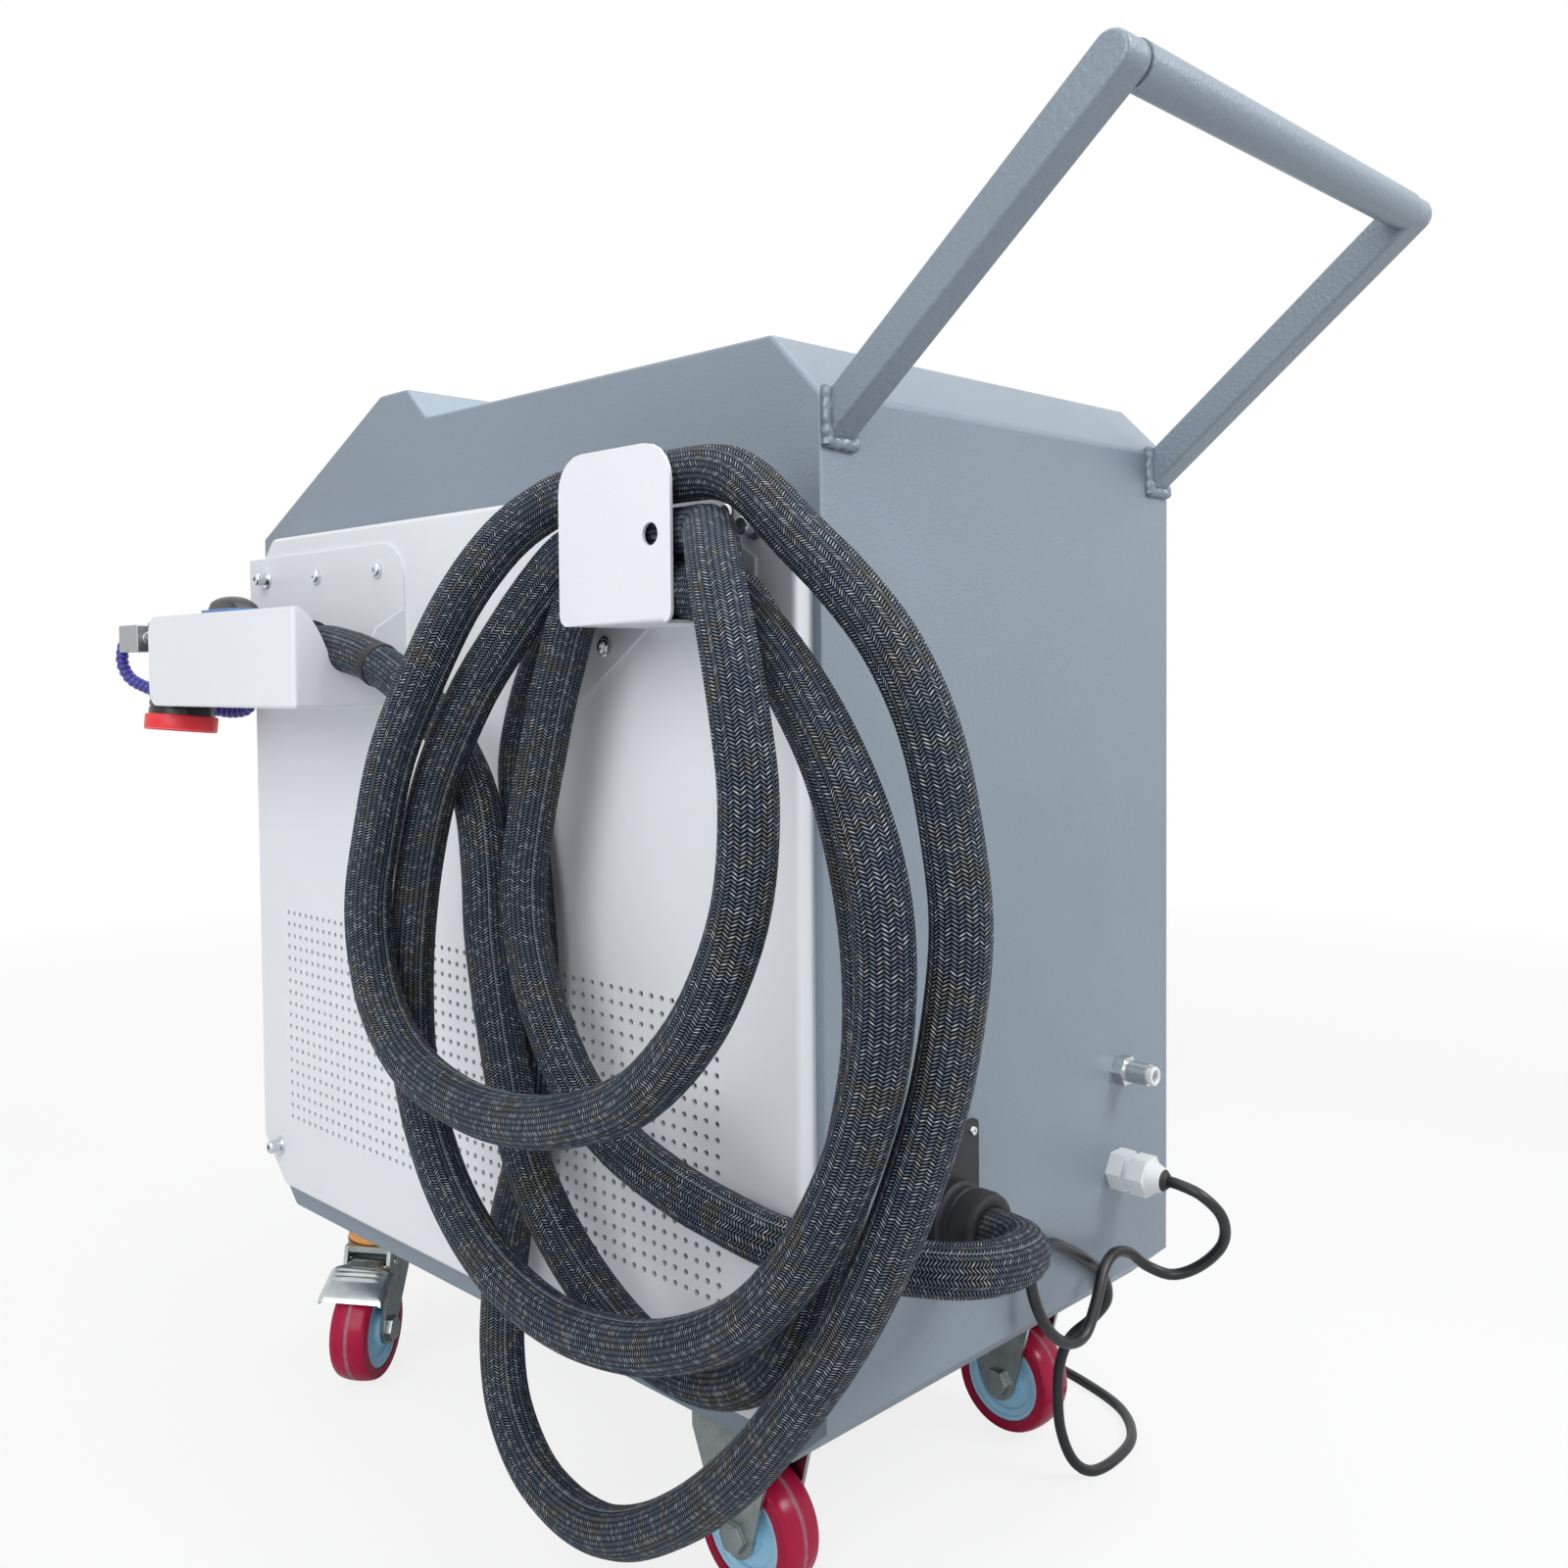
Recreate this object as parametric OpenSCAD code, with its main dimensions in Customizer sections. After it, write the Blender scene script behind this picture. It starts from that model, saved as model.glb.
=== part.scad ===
// Laser cleaning machine: a wheeled cabinet with a push handle, perforated side
// panels, a braided hose hung on a hook and a hand gun lying in a tray.
// The origin lies on the floor under the middle of the cabinet.
// The hose side is +X, the handle is at the rear, +Y, and +Z is up.

/* [Cabinet] */
// Depth from the front wall to the rear wall
cab_depth = 677; // [660:1:700]
// Width between the two side walls
cab_width = 392; // [384:1:400]
// Height of the flat top above the underside
cab_height = 675; // [668:1:690]
// Height of the front wall above the underside
front_height = 600; // [590:1:610]
// Height of the hump above the underside
hump_height = 700; // [698:1:706]
// Distance of the hump's front edge from the middle
hump_front = 137; // [130:1:142]
// Distance of the hump's rear edge from the middle
hump_rear = 97; // [90:1:104]
// Distance from the middle to where the flat top begins
valley_dist = 70; // [60:1:80]
// Bevel at the lower front edge
front_foot = 35; // [30:1:38]
// Bevel at the lower rear edge, along the depth
rear_foot_run = 30; // [24:1:34]
// Bevel at the lower rear edge, upward
rear_foot_rise = 28; // [22:1:34]
// Bevel at the upper rear edge
rear_top = 38; // [30:1:42]
// Thickness of the folded steel sheet
sheet = 2; // [1.5:0.1:3]
// Thickness of the floor plate inside
floor_t = 3; // [2:0.5:5]
// Height of the underside above the floor
ride_height = 133; // [130:1:140]

/* [Side panels] */
// Height of a panel
panel_height = 572; // [560:1:580]
// Distance from the underside to the panel's lower edge
panel_low = 24; // [18:1:30]
// Depth of a panel from front to rear
panel_depth = 664; // [660:1:668]
// How far a panel stands off the side wall
panel_stand = 15; // [12:1:18]
// Bevel at the corners of a panel
panel_bevel = 38; // [32:1:44]
// Rounding of the panel's outline
panel_round = 12; // [6:1:16]
// Distance between the vent holes
vent_pitch = 10; // [10:0.5:11]
// Width of a vent hole
vent_hole = 4; // [3:0.5:5]
// Vent holes in a row on the hose side
vent_columns = 55; // [20:1:55]
// Rows of vent holes on the hose side
vent_rows = 19; // [6:1:19]
// Vent holes in a row on the far side
far_columns = 24; // [12:1:26]
// Rows of vent holes on the far side
far_rows = 12; // [10:1:14]
// Height of the lowest row above the panel's lower edge
vent_low = 65.6; // [60:0.1:75]
// Distance of the rearmost vent column from the middle
vent_reach = 263.3; // [258:0.1:270]
// Head of a thumb screw, across
thumb_d = 11; // [9:1:14]
// Thumb screw's height over the panel
thumb_h = 12; // [9:1:15]
// Collar under a thumb screw, across
thumb_collar = 16; // [14:1:18]
// Thumb screws' distance from the middle
thumb_reach = 300; // [295:1:305]
// Thumb screws' distance from the panel's upper and lower edges
thumb_edge = 35; // [32:1:40]

/* [Handle] */
// Width and height of a square arm
arm_w = 22.4; // [20:0.1:24]
// Distance over the outer faces of the two arms
arm_span = 381.4; // [376:0.2:384]
// Slope of the arms
arm_angle = 39.4; // [36:0.2:44]
// Distance of the bar's axis behind the rear wall
bar_out = 183.5; // [165:0.5:200]
// Distance from the arms' feet up to the rear bevel
foot_in = 0.2; // [0.2:0.1:6]
// Width of the round bar
bar_d = 24.4; // [22:0.2:28]
// Half width of a weld bead
bead_r = 4.5; // [3:0.5:6]

/* [Hook] */
// Width of the hook
hook_w = 100; // [98:1:101]
// Distance of the hook's rear edge from the middle
hook_rear = 302; // [302:1:304]
// Distance from the panel to the hook's front face
hook_out = 68; // [68:1:72]
// Height of the shelf's underside above the floor
hook_low = 637; // [635:1:637]
// Height of the hook's front plate
hook_h = 101; // [98:1:106]
// Rounding of the front plate's upper corners
hook_round = 22; // [12:1:30]
// Rounding of the front plate's lower corners
hook_foot_round = 7; // [3:1:7]
// Hole in the front plate
hook_hole = 13; // [8:1:16]

/* [Gun tray] */
// Length of the tray
tray_len = 253.4; // [252:0.2:256]
// Distance of the tray's closed end from the middle, toward the front
tray_end = 78.6; // [76:0.2:80]
// Distance from the panel to the tray's front face
tray_out = 95; // [94:1:98]
// Height of the tray's underside above the floor
tray_low = 585; // [583:1:586]
// Height of the tray's front wall
tray_h = 75; // [70:1:78]
// Height of the back plate
tray_back = 127; // [124:1:130]
// Rounding of the back plate
tray_back_round = 29; // [20:1:32]
// Rounding of the front wall's outer corners
tray_round = 14; // [6:1:18]
// Half width of the notch at its foot
notch_r = 16.5; // [16:0.1:18]

/* [Hose] */
// Thickness of the braided hose
hose_d = 31; // [28:0.5:31]
// Sides of the hose's tube
hose_sides = 12; // [8:1:12]
// Ring round the hose at its exit, across
boot_d = 47; // [44:1:50]
// Length of that ring
boot_len = 30; // [26:1:30]
// Clearance of the hose in that ring
hose_gap = 0.3; // [0.2:0.1:0.6]

/* [Power cable] */
// Thickness of the power cable
cable_d = 8; // [6:0.5:8]
// Gap between the turns of the coil
turn_gap = 0.8; // [0.6:0.1:1.2]
// Turns of the coil
coil_turns = 5; // [3:1:5]
// Radius of the coil's outer turn
coil_r = 54.4; // [52:0.2:58]
// Width of the plug's body
plug_d = 38; // [34:1:42]
// Length of the plug's body
plug_len = 42; // [36:1:48]

/* [Gun] */
// Width of the lens tube
lens_d = 56; // [50:1:56]
// Width of the red cap
cap_d = 61.5; // [59:0.5:63]
// Distance of the lens axis from the middle
lens_reach = 361.5; // [361.5:0.5:364]
// Distance of the gun's axis from the side wall
gun_out = 66; // [64:1:67]
// Width of the gun's body
gun_w = 48; // [44:1:50]

/* [Controls] */
// Width of the screen's frame
screen_w = 186; // [170:1:190]
// Height of the screen's frame
screen_h = 116; // [106:1:120]
// Width of the emergency button
estop_d = 40; // [36:1:44]
// Travel of the emergency button
estop_travel = 4; // [3:0.5:5]

/* [Casters] */
// Radius of a wheel
wheel_r = 43.5; // [42:0.5:44]
// Width of the tread
tread_w = 32; // [28:1:33]
// Radius of a hub
hub_r = 32.7; // [30:0.1:34]
// Distance of the swivel axes from the middle plane
swivel_x = 146; // [144:1:150]
// Distance of the swivel axes from the middle, toward the front
swivel_y = 238; // [234:1:240]
// Distance of the rear wheels from the middle
rear_y = 231; // [229:1:234]
// Trail of a swivel caster
trail = 38; // [34:1:40]
// Clear width between the legs of a fork
fork_gap = 36; // [35:0.5:40]
// Thickness of a fork's leg
leg_t = 3.5; // [3:0.5:4]
// Direction in which the hose side caster trails
near_turn_angle = 35; // [0:5:360]
// Direction in which the far side caster trails
far_turn_angle = 150; // [0:5:360]

/* [Fits] */
// Running clearance of shafts and pins, on the radius
run_gap = 0.05; // [0.02:0.01:0.1]
// Gap between a resting piece and its seat
seat_gap = 0.3; // [0.2:0.1:0.4]
// Clearance of a bolt in its hole, on the radius
bolt_gap = 0.25; // [0.2:0.05:0.5]

/* [Hidden] */

$fn = 48;
// Overrun of every cut
over = 1;
// Steps of a rounded corner in an outline
corner_steps = 5;

// Cabinet
half_depth = cab_depth / 2;
half_width = cab_width / 2;
front_z = ride_height + front_height;
hump_z = ride_height + hump_height;
top_z = ride_height + cab_height;
cab_outline = [
    [-half_depth + front_foot, ride_height],
    [half_depth - rear_foot_run, ride_height],
    [half_depth, ride_height + rear_foot_rise],
    [half_depth, top_z - rear_top],
    [half_depth - rear_top, top_z],
    [-valley_dist, top_z],
    [-hump_rear, hump_z],
    [-hump_front, hump_z],
    [-half_depth, front_z],
    [-half_depth, ride_height + front_foot]];
slope_angle = atan2(hump_height - front_height, half_depth - hump_front);
slope_y = -(half_depth + hump_front) / 2;
slope_z = (hump_z + front_z) / 2;
deck_z = ride_height + sheet + floor_t;

// Panels
panel_x = half_width + panel_stand;
panel_half = panel_depth / 2;
panel_foot = ride_height + panel_low;
panel_top = panel_foot + panel_height;
panel_outline = [
    [-panel_half + panel_bevel, panel_foot],
    [panel_half - panel_bevel, panel_foot],
    [panel_half, panel_foot + panel_bevel],
    [panel_half, panel_top - panel_bevel],
    [panel_half - panel_bevel, panel_top],
    [-panel_half + panel_bevel, panel_top],
    [-panel_half, panel_top - panel_bevel],
    [-panel_half, panel_foot + panel_bevel]];
vent_foot = panel_foot + vent_low;
vent_run = (vent_columns - 1) * vent_pitch;
vent_rise = (vent_rows - 1) * vent_pitch;
far_run = (far_columns - 1) * vent_pitch;
far_rise = (far_rows - 1) * vent_pitch;
fan_z = vent_foot + vent_rise / 2;
thumb_places = [for (y = [-thumb_reach, thumb_reach], z = [panel_foot + thumb_edge,
    panel_top - thumb_edge]) [y, z]];
thumb_collar_t = 2;

// Handle
bar_len = arm_span - 2 * arm_w;
bar_reach = half_depth + bar_out;
bar_height = top_z - rear_top - foot_in - arm_w / 2 / cos(arm_angle) + bar_out * tan(arm_angle);
arm_dir = [cos(arm_angle), sin(arm_angle)];
arm_side = [-sin(arm_angle), cos(arm_angle)];
bar_axis = [bar_reach, bar_height];
arm_low = bar_axis - arm_side * arm_w / 2;
arm_high = bar_axis + arm_side * arm_w / 2;
arm_foot_low = arm_low[1] - (arm_low[0] - half_depth) * tan(arm_angle);
arm_foot_high = arm_high[1] - (arm_high[0] - half_depth) * tan(arm_angle);
arm_outline = [[half_depth, arm_foot_low], arm_low, arm_high, [half_depth, arm_foot_high]];

// Hook
hook_front = hook_rear - hook_w;
hook_x = panel_x + hook_out;
hook_top = hook_low + hook_h;
hook_hole_in = 17;
hook_hole_rise = 50;
hook_hole_y = hook_rear - hook_hole_in;
hook_hole_z = hook_low + hook_hole_rise;
hook_pad_reach = 82;
hook_pad_low = 50;
hook_pad_top = 88;
hook_shoulder = 70;
hook_pad_step = 39;
hook_pad_notch = 12;
hook_pad_outline = [
    [hook_rear, hook_low],
    [hook_rear, hook_low + hook_pad_step],
    [hook_rear - hook_pad_notch, hook_low + hook_pad_step + hook_foot_round],
    [hook_rear - hook_pad_notch, hook_low + hook_pad_top],
    [hook_front + hook_foot_round, hook_low + hook_pad_top],
    [hook_front - hook_pad_reach, hook_low + hook_pad_top - hook_shoulder],
    [hook_front - hook_pad_reach, hook_low - hook_pad_low],
    [hook_front - hook_shoulder, hook_low - hook_pad_low],
    [hook_front + hook_foot_round, hook_low + sheet]];
hook_outline = [[hook_front, hook_low], [hook_rear, hook_low], [hook_rear, hook_top],
    [hook_front, hook_top]];

// Tray
tray_front = -tray_end - tray_len;
tray_x = panel_x + tray_out;
tray_floor = tray_low + sheet;
tray_top = tray_low + tray_h;
notch_shift = 0.5;
notch_rise = 42;
notch_x = half_width + gun_out - notch_shift;
notch_z = tray_low + notch_rise;
notch_lip = 8;
notch_mouth = 18;
notch_back = 26;
tray_end_outline = [
    [panel_x, tray_low], [tray_x, tray_low], [tray_x, tray_top],
    [tray_x - notch_lip, tray_top],
    [notch_x + notch_r + notch_lip, notch_z + notch_mouth],
    [notch_x + notch_r, notch_z], [notch_x - notch_r, notch_z],
    [notch_x - notch_r - notch_lip, notch_z + notch_mouth],
    [panel_x + sheet, tray_top]];

// Small pan head screws
pan_d = 13;
pan_h = 4;
tray_screw_rise = 107;
tray_screw_near = 37;
tray_screw_far = 133.4;
tray_screws = [for (y = [tray_screw_near, tray_screw_far]) [-tray_end - y,
    tray_low + tray_screw_rise]];
hook_screw_in = 22;
hook_screw_rise = 67;
hook_pad_screw_out = 37.5;
hook_pad_screw_drop = 10.5;
hook_screws = [[hook_front - hook_pad_screw_out, hook_low - hook_pad_screw_drop],
    [hook_front + hook_screw_in, hook_low + hook_screw_rise],
    [hook_rear - hook_screw_in, hook_low + hook_screw_rise]];

// Hose exit at the rear wall
exit_x = 78;
exit_z = 258;
exit_plate_w = 56;
exit_plate_low = 36;
exit_plate_high = 60;
exit_plate_t = 3;
exit_screw_in = 7;
boot_flange_d = 52;
boot_flange_t = 6;
hose_start = half_depth + exit_plate_t + sheet;

// Air fitting and cable gland in the rear wall
air_x = -127;
air_z = 314;
air_hex = 20;
air_hex_t = 8;
air_body_d = 16;
air_body_len = 17;
air_tube_d = 8;
ring_sleeve_d = 11;
ring_flange_d = 14;
ring_flange_t = 3.2;
ring_sleeve_len = 9;
ring_travel = 1.5;
air_end = half_depth + air_hex_t + air_body_len;
gland_x = -122.7;
gland_z = 241.4;
gland_hex = 27;
gland_hex_t = 12;
gland_neck_d = 21;
gland_neck_len = 4;
gland_nut_t = 13;
gland_dome_t = 10;
gland_end = half_depth + gland_hex_t + gland_neck_len + gland_nut_t + gland_dome_t;
gland_mouth_d = 16;
gland_lead = 10;

// Controls on the slope
screen_x = -70;
screen_t = 4;
screen_edge = 13;
screen_depth = 30;
screen_round = 8;
glass_t = 2.7;
button_x = 110;
estop_v = 50;
key_v = -10;
lamp_v = -60;
estop_plate_t = 3;
estop_plate_d = 58;
estop_neck_d = 30;
estop_neck_h = 12;
estop_body_d = 22;
estop_depth = 32;
estop_stem_d = 10;
estop_head_low = 17;
estop_head_h = 12;
switch_bezel_d = 28;
switch_bezel_h = 5;
switch_body_d = 19;
switch_depth = 34;
key_barrel_d = 12;
key_barrel_len = 16;
key_bow_w = 24;
key_bow_h = 26;
key_t = 3;
lamp_lens_d = 20;
lamp_lens_h = 8;

// Casters, measured from the underside
plate_len = 90;
plate_w = 72;
plate_t = 4;
plate_round = 8;
hole_x = 29;
hole_y = 36;
bolt_d = 8;
bolt_head_w = 12;
bolt_head_t = 5.3;
nut_t = 6.5;
race_d = 56;
race_low = 8;
seal_d = 60;
seal_bore_d = 40;
seal_groove = 1.6;
crown_top = 22;
crown_t = 5;
crown_d = 62;
crown_front = 33;
crown_back = 24;
stud_d = 16;
stud_head_d = 24;
stud_head_t = 3.5;
axle_drop = ride_height - wheel_r;
axle_d = 12;
axle_head_w = 19;
axle_head_t = 5;
boss_r = 13;
rear_boss_r = 15;
rear_web_t = 4;
rear_leg_front = 41;
rear_leg_back = 31;
hub_len = fork_gap - 2 * seat_gap;
rear_axle_place = [0, -axle_drop];
rear_leg_knee = -plate_t - 2 * boss_r;
rear_leg_outline = concat([[rear_leg_back, -plate_t], [-rear_leg_front, -plate_t],
    [-rear_leg_front, rear_leg_knee]],
    round_end(touch([-rear_leg_front, rear_leg_knee], rear_axle_place, rear_boss_r, -1),
        touch([rear_leg_back, rear_leg_knee], rear_axle_place, rear_boss_r, 1),
        rear_axle_place, rear_boss_r, 16), [[rear_leg_back, rear_leg_knee]]);
pedal_u = 24;
pedal_v = -36;
pedal_pin_d = 6;
pedal_boss_d = 11;
pedal_w = 56;
pedal_tongue_w = 33;
pedal_t = 2.5;
pedal_path = [[pedal_u, pedal_v + 3], [34, -33], [66, -49.5], [70.5, -52.5], [72, -56]];
pedal_split = 43;
pedal_rib_step = 3;
pedal_rib_v = -36.3;
pedal_rib_r = 1;
plate_places = [[swivel_x, -swivel_y], [-swivel_x, -swivel_y], [swivel_x, rear_y],
    [-swivel_x, rear_y]];
bolt_places = [for (p = plate_places, i = [-1, 1], j = [-1, 1]) p + [i * hole_x, j * hole_y]];

// Gun, lying along the tray with its lens pointing down
gun_x = half_width + gun_out;
gun_low = tray_floor + seat_gap;
gun_body_h = 73;
gun_top = gun_low + gun_body_h;
gun_back = -226;
gun_edge = 12;
gun_neck = 26;
gun_front = -lens_reach + gun_neck;
head_r = 29;
head_low = 600;
head_top = 662;
head_cone = 8;
grip_r = 21;
grip_end_r = 19.5;
grip_z = 626;
butt_r = 20.5;
butt_y = -160;
butt_end = -132;
butt_z = 632;
butt_lead = 20;
lens_low = 564.3;
cap_low = 561;
cap_h = 14;
cap_recess = 1;
knob_w = 28;
knob_front = -293;
knob_back = -232;
knob_h = 16;
knob_round = 7;
trigger_w = 10;
trigger_pin_d = 5;
trigger_pin_len = 18;
trigger_y = -188;
trigger_z = 617;
trigger_len = 34;
trigger_t = 9;
trigger_gap = 0.4;
block_w = 22;
block_front = -478;
block_back = -436;
block_low = 632.5;
block_h = 25;
stem_d = 10;
stem_in = 4;
barb_d = 11;
barb_z = 632;
barb_share = [-0.8, 0.6];
barb_end = 34;
barb_lead = 5;
air_line_d = 9;

// Inside pieces
source_w = 300;
source_d = 260;
source_h = 96;
source_y = -40;
fin_t = 3;
fin_h = 22;
fin_count = 18;
supply_w = 200;
supply_d = 110;
supply_h = 62;
supply_y = 210;
slot_w = 4;
slot_count = 9;
board_w = 160;
board_d = 90;
board_t = 1.6;
board_y = -240;
post_d = 6;
post_h = 8;
fan_size = 120;
fan_depth = 38;
fan_bore = 114;
fan_hub_d = 42;
fan_rotor_d = 110;
fan_motor_t = 10;
fan_rotor_len = 20;
fan_shaft_d = 6;
fan_blades = 7;
fan_blade_t = 2;
fan_pitch = 38;
strut_w = 6;

// Route of the hose: out of the rear wall, four hung loops, then to the gun
hose_route = [[exit_x, hose_start, exit_z],
    [78, 372, 258], [85, 396, 260], [105, 414, 264], [136, 420, 268], [166, 413, 272],
    [188, 394, 275], [204, 371, 277], [217, 351, 280], [230, 331, 284], [238, 303, 291],
    [247, 264, 303], [256, 223, 323], [261, 190, 350], [262, 160, 392], [261, 141, 434],
    [260, 136, 476], [259, 143, 516], [258, 156, 562], [257, 166, 596], [257, 177, 622],
    [259, 188, 642], [260, 202, 654], [261, 220, 657], [261, 245, 655], [261, 270, 655],
    [261, 294, 655], [262, 318, 653], [268, 346, 642], [277, 390, 608], [286, 427, 570],
    [291, 452, 530], [292, 463, 486], [290, 460, 435], [288, 447, 390], [287, 426, 345],
    [287, 398, 303], [287, 362, 266], [288, 318, 240], [289, 268, 223], [290, 206, 217],
    [291, 147, 230], [292, 100, 262], [293, 70, 305], [293, 54, 350], [293, 51, 395],
    [293, 55, 440], [293, 67, 491], [293, 88, 542], [287, 118, 594], [277, 144, 632],
    [266, 163, 661], [258, 185, 683], [257, 210, 688], [257, 240, 688], [257, 270, 688],
    [257, 296, 688], [264, 316, 687], [280, 336, 679], [297, 357, 658], [311, 379, 626],
    [320, 396, 590], [325, 407, 548], [325, 403, 502], [325, 388, 462], [325, 363, 424],
    [325, 324, 388], [325, 278, 366], [325, 227, 352], [325, 167, 348], [325, 108, 360],
    [325, 72, 388], [325, 56, 424], [325, 53, 463], [325, 65, 507], [325, 86, 559],
    [319, 114, 610], [302, 131, 657], [282, 152, 694], [264, 177, 715], [257, 204, 721],
    [257, 236, 721], [257, 270, 721], [257, 296, 721], [257, 318, 720], [257, 336, 714],
    [258, 354, 702], [259, 380, 680], [260, 412, 654], [260, 443, 621], [260, 466, 580],
    [260, 479, 530], [260, 484, 480], [260, 474, 415], [260, 456, 360], [260, 434, 310],
    [260, 406, 260], [260, 372, 212], [260, 334, 165], [260, 285, 119], [259, 230, 84],
    [257, 180, 72], [253, 130, 80], [248, 95, 107], [242, 78, 140], [235, 71, 180],
    [229, 73, 228], [229, 92, 278], [229, 104, 334], [229, 106, 400], [229, 101, 460],
    [229, 94, 510], [229, 92, 550], [229, 106, 592], [229, 128, 627], [229, 155, 652],
    [229, 188, 666], [229, 220, 672], [229, 250, 672], [229, 274, 668], [229, 294, 659],
    [229, 310, 648], [229, 324, 630], [234, 350, 601], [240, 380, 564], [244, 402, 520],
    [246, 415, 466], [246, 415, 410], [245, 402, 354], [245, 384, 302], [244, 364, 256],
    [243, 339, 220], [242, 306, 198], [243, 267, 191], [246, 227, 198], [252, 188, 224],
    [258, 156, 260], [261, 132, 300], [261, 112, 360], [261, 96, 430], [261, 93, 480],
    [261, 86, 522], [261, 67, 552], [261, 38, 579], [261, -6, 605], [261, -50, 621],
    [261, -90, 629], [gun_x, butt_end + butt_lead, butt_z],
    [gun_x, butt_end + seat_gap, butt_z]];

// Route of the power cable: two loops at the rear wall, then down to the floor
coil_x = -300;
coil_y = 60;
cable_route = [[gland_x, gland_end, gland_z],
    [gland_x, gland_end + gland_lead, gland_z], [-127, 404, 236],
    [-138, 414, 220], [-147, 410, 198], [-146, 394, 178],
    [-138, 376, 168], [-126, 362, 174], [-112, 356, 186], [-94, 354, 190], [-76, 356, 183],
    [-60, 360, 166], [-42, 362, 150], [-20, 360, 152], [-2, 356, 170], [4, 350, 196],
    [-6, 347, 213], [-26, 345, 214], [-50, 344, 203], [-74, 344, 188], [-96, 344, 170],
    [-104, 342, 150], [-103, 330, 132], [-100, 314, 114], [-100, 305, 92], [-100, 303, 66],
    [-101, 305, 40], [-108, 311, 17], [-124, 317, 5], [-152, 320, 4], [-190, 312, 4],
    [-222, 284, 4], [-240, 240, 4], [-250, 190, 4], [-250, 140, 4], [-246, 100, 4],
    [coil_x + coil_r, coil_y + 2 * cable_d, 4], [coil_x + coil_r, coil_y + cable_d, 4]];
cable_sides = 8;
coil_sides = 6;
coil_rings = 24;
coil_pitch = cable_d + turn_gap;
coil_low = cable_d / 2;
plug_z = plug_d / 2;
plug_relief_len = 22;
plug_relief_r = 7;
plug_pin_d = 4.8;
plug_pin_len = 19;
plug_pin_gap = 19;

// Place on the barb's axis at a distance from the lens axis
function barb_place(r) = [gun_x + barb_share[0] * r, -lens_reach + barb_share[1] * r, barb_z];

// Route of the air line round the front of the gun
air_line_route = [[gun_x, block_front, 645], [262, -487, 644], [262, -496, 636],
    [261, -500, 622], [257, -492, 608], [249, -472, 599], [239, -442, 591],
    [227, -412, 583], [213, -384, 577], [205, -362, 579], [206, -348, 590],
    [210, -341, 606], [215, -338, 620], barb_place(barb_end + 2 * barb_lead),
    barb_place(barb_end + barb_lead), barb_place(barb_end + seat_gap)];

// Functions
function unit(v) = v / norm(v);

// Outline of a convex or bent polygon moved inward by t, corners mitred
function inset(p, t) = [for (i = [0:len(p) - 1])
    let (u = unit(p[i] - p[(i + len(p) - 1) % len(p)]), v = unit(p[(i + 1) % len(p)] - p[i]),
        n = [-u[1], u[0]], m = [-v[1], v[0]])
    p[i] + (n + m) * t / (1 + n * m)];

// Convex outline with its corners rounded, one radius for each corner
function rounded(p, r) = [for (i = [0:len(p) - 1])
    let (b = p[i], u = unit(p[(i + len(p) - 1) % len(p)] - b), v = unit(p[(i + 1) % len(p)] - b),
        turn = acos(u * v), c = b + unit(u + v) * r[i] / sin(turn / 2),
        s = b + u * r[i] / tan(turn / 2) - c, a = atan2(s[1], s[0]))
    for (k = [0:corner_steps]) c + r[i] * [cos(a + (180 - turn) * k / corner_steps),
        sin(a + (180 - turn) * k / corner_steps)]];

// Strip of even thickness along a bent line
function ribbon(p, t) = let (last = len(p) - 1, n = [for (i = [0:last])
        let (d = unit(p[min(i + 1, last)] - p[max(i - 1, 0)])) [-d[1], d[0]]])
    concat([for (i = [0:last]) p[i] - n[i] * t / 2], [for (i = [last:-1:0]) p[i] + n[i] * t / 2]);

// Point where the line from p touches a circle, on side s
function touch(p, c, r, s) = let (d = c - p, a = atan2(d[1], d[0]) + s * asin(r / norm(d)))
    p + sqrt(d * d - r * r) * [cos(a), sin(a)];

// Points on a circle from one point on it round to another, the short way being left out
function round_end(a, b, c, r, n) = let (p = a - c, q = b - c, f = atan2(p[1], p[0]),
        g = atan2(q[1], q[0]), e = g > f ? g : g + 360)
    [for (k = [0:n]) c + r * [cos(f + (e - f) * k / n), sin(f + (e - f) * k / n)]];

// Directions along a line of points
function headings(p) = [for (i = [0:len(p) - 1])
    unit(p[min(i + 1, len(p) - 1)] - p[max(i - 1, 0)])];

// One side direction at each point, carried along without twist
function sideways(t) = [for (i = 0, u = unit(cross(t[0], [0, 0, 1])); i < len(t);
    u = unit(u - (u * t[min(i + 1, len(t) - 1)]) * t[min(i + 1, len(t) - 1)]), i = i + 1) u];

// Least distance between parts of a line of points at least skip points apart
function self_gap(p, skip, d) = min([for (i = [0:len(p) - skip - 1], j = [i + skip:len(p) - 1])
    norm(p[i] - p[j])]) - d;

// Length along a line of points
function run_length(p, i = 0) = i > len(p) - 2 ? 0 : norm(p[i + 1] - p[i]) + run_length(p, i + 1);

// Points between the stations of a route, on a smooth curve through them
function between(a, b, c, d, t) = (2 * b + (c - a) * t + (2 * a - 5 * b + 4 * c - d) * t * t
    + (3 * b - a - 3 * c + d) * t * t * t) / 2;
function refine(p, n) = concat([for (i = [0:len(p) - 2], k = [0:n - 1])
    between(p[max(i - 1, 0)], p[i], p[i + 1], p[min(i + 2, len(p) - 1)], k / n)],
    [p[len(p) - 1]]);

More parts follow.
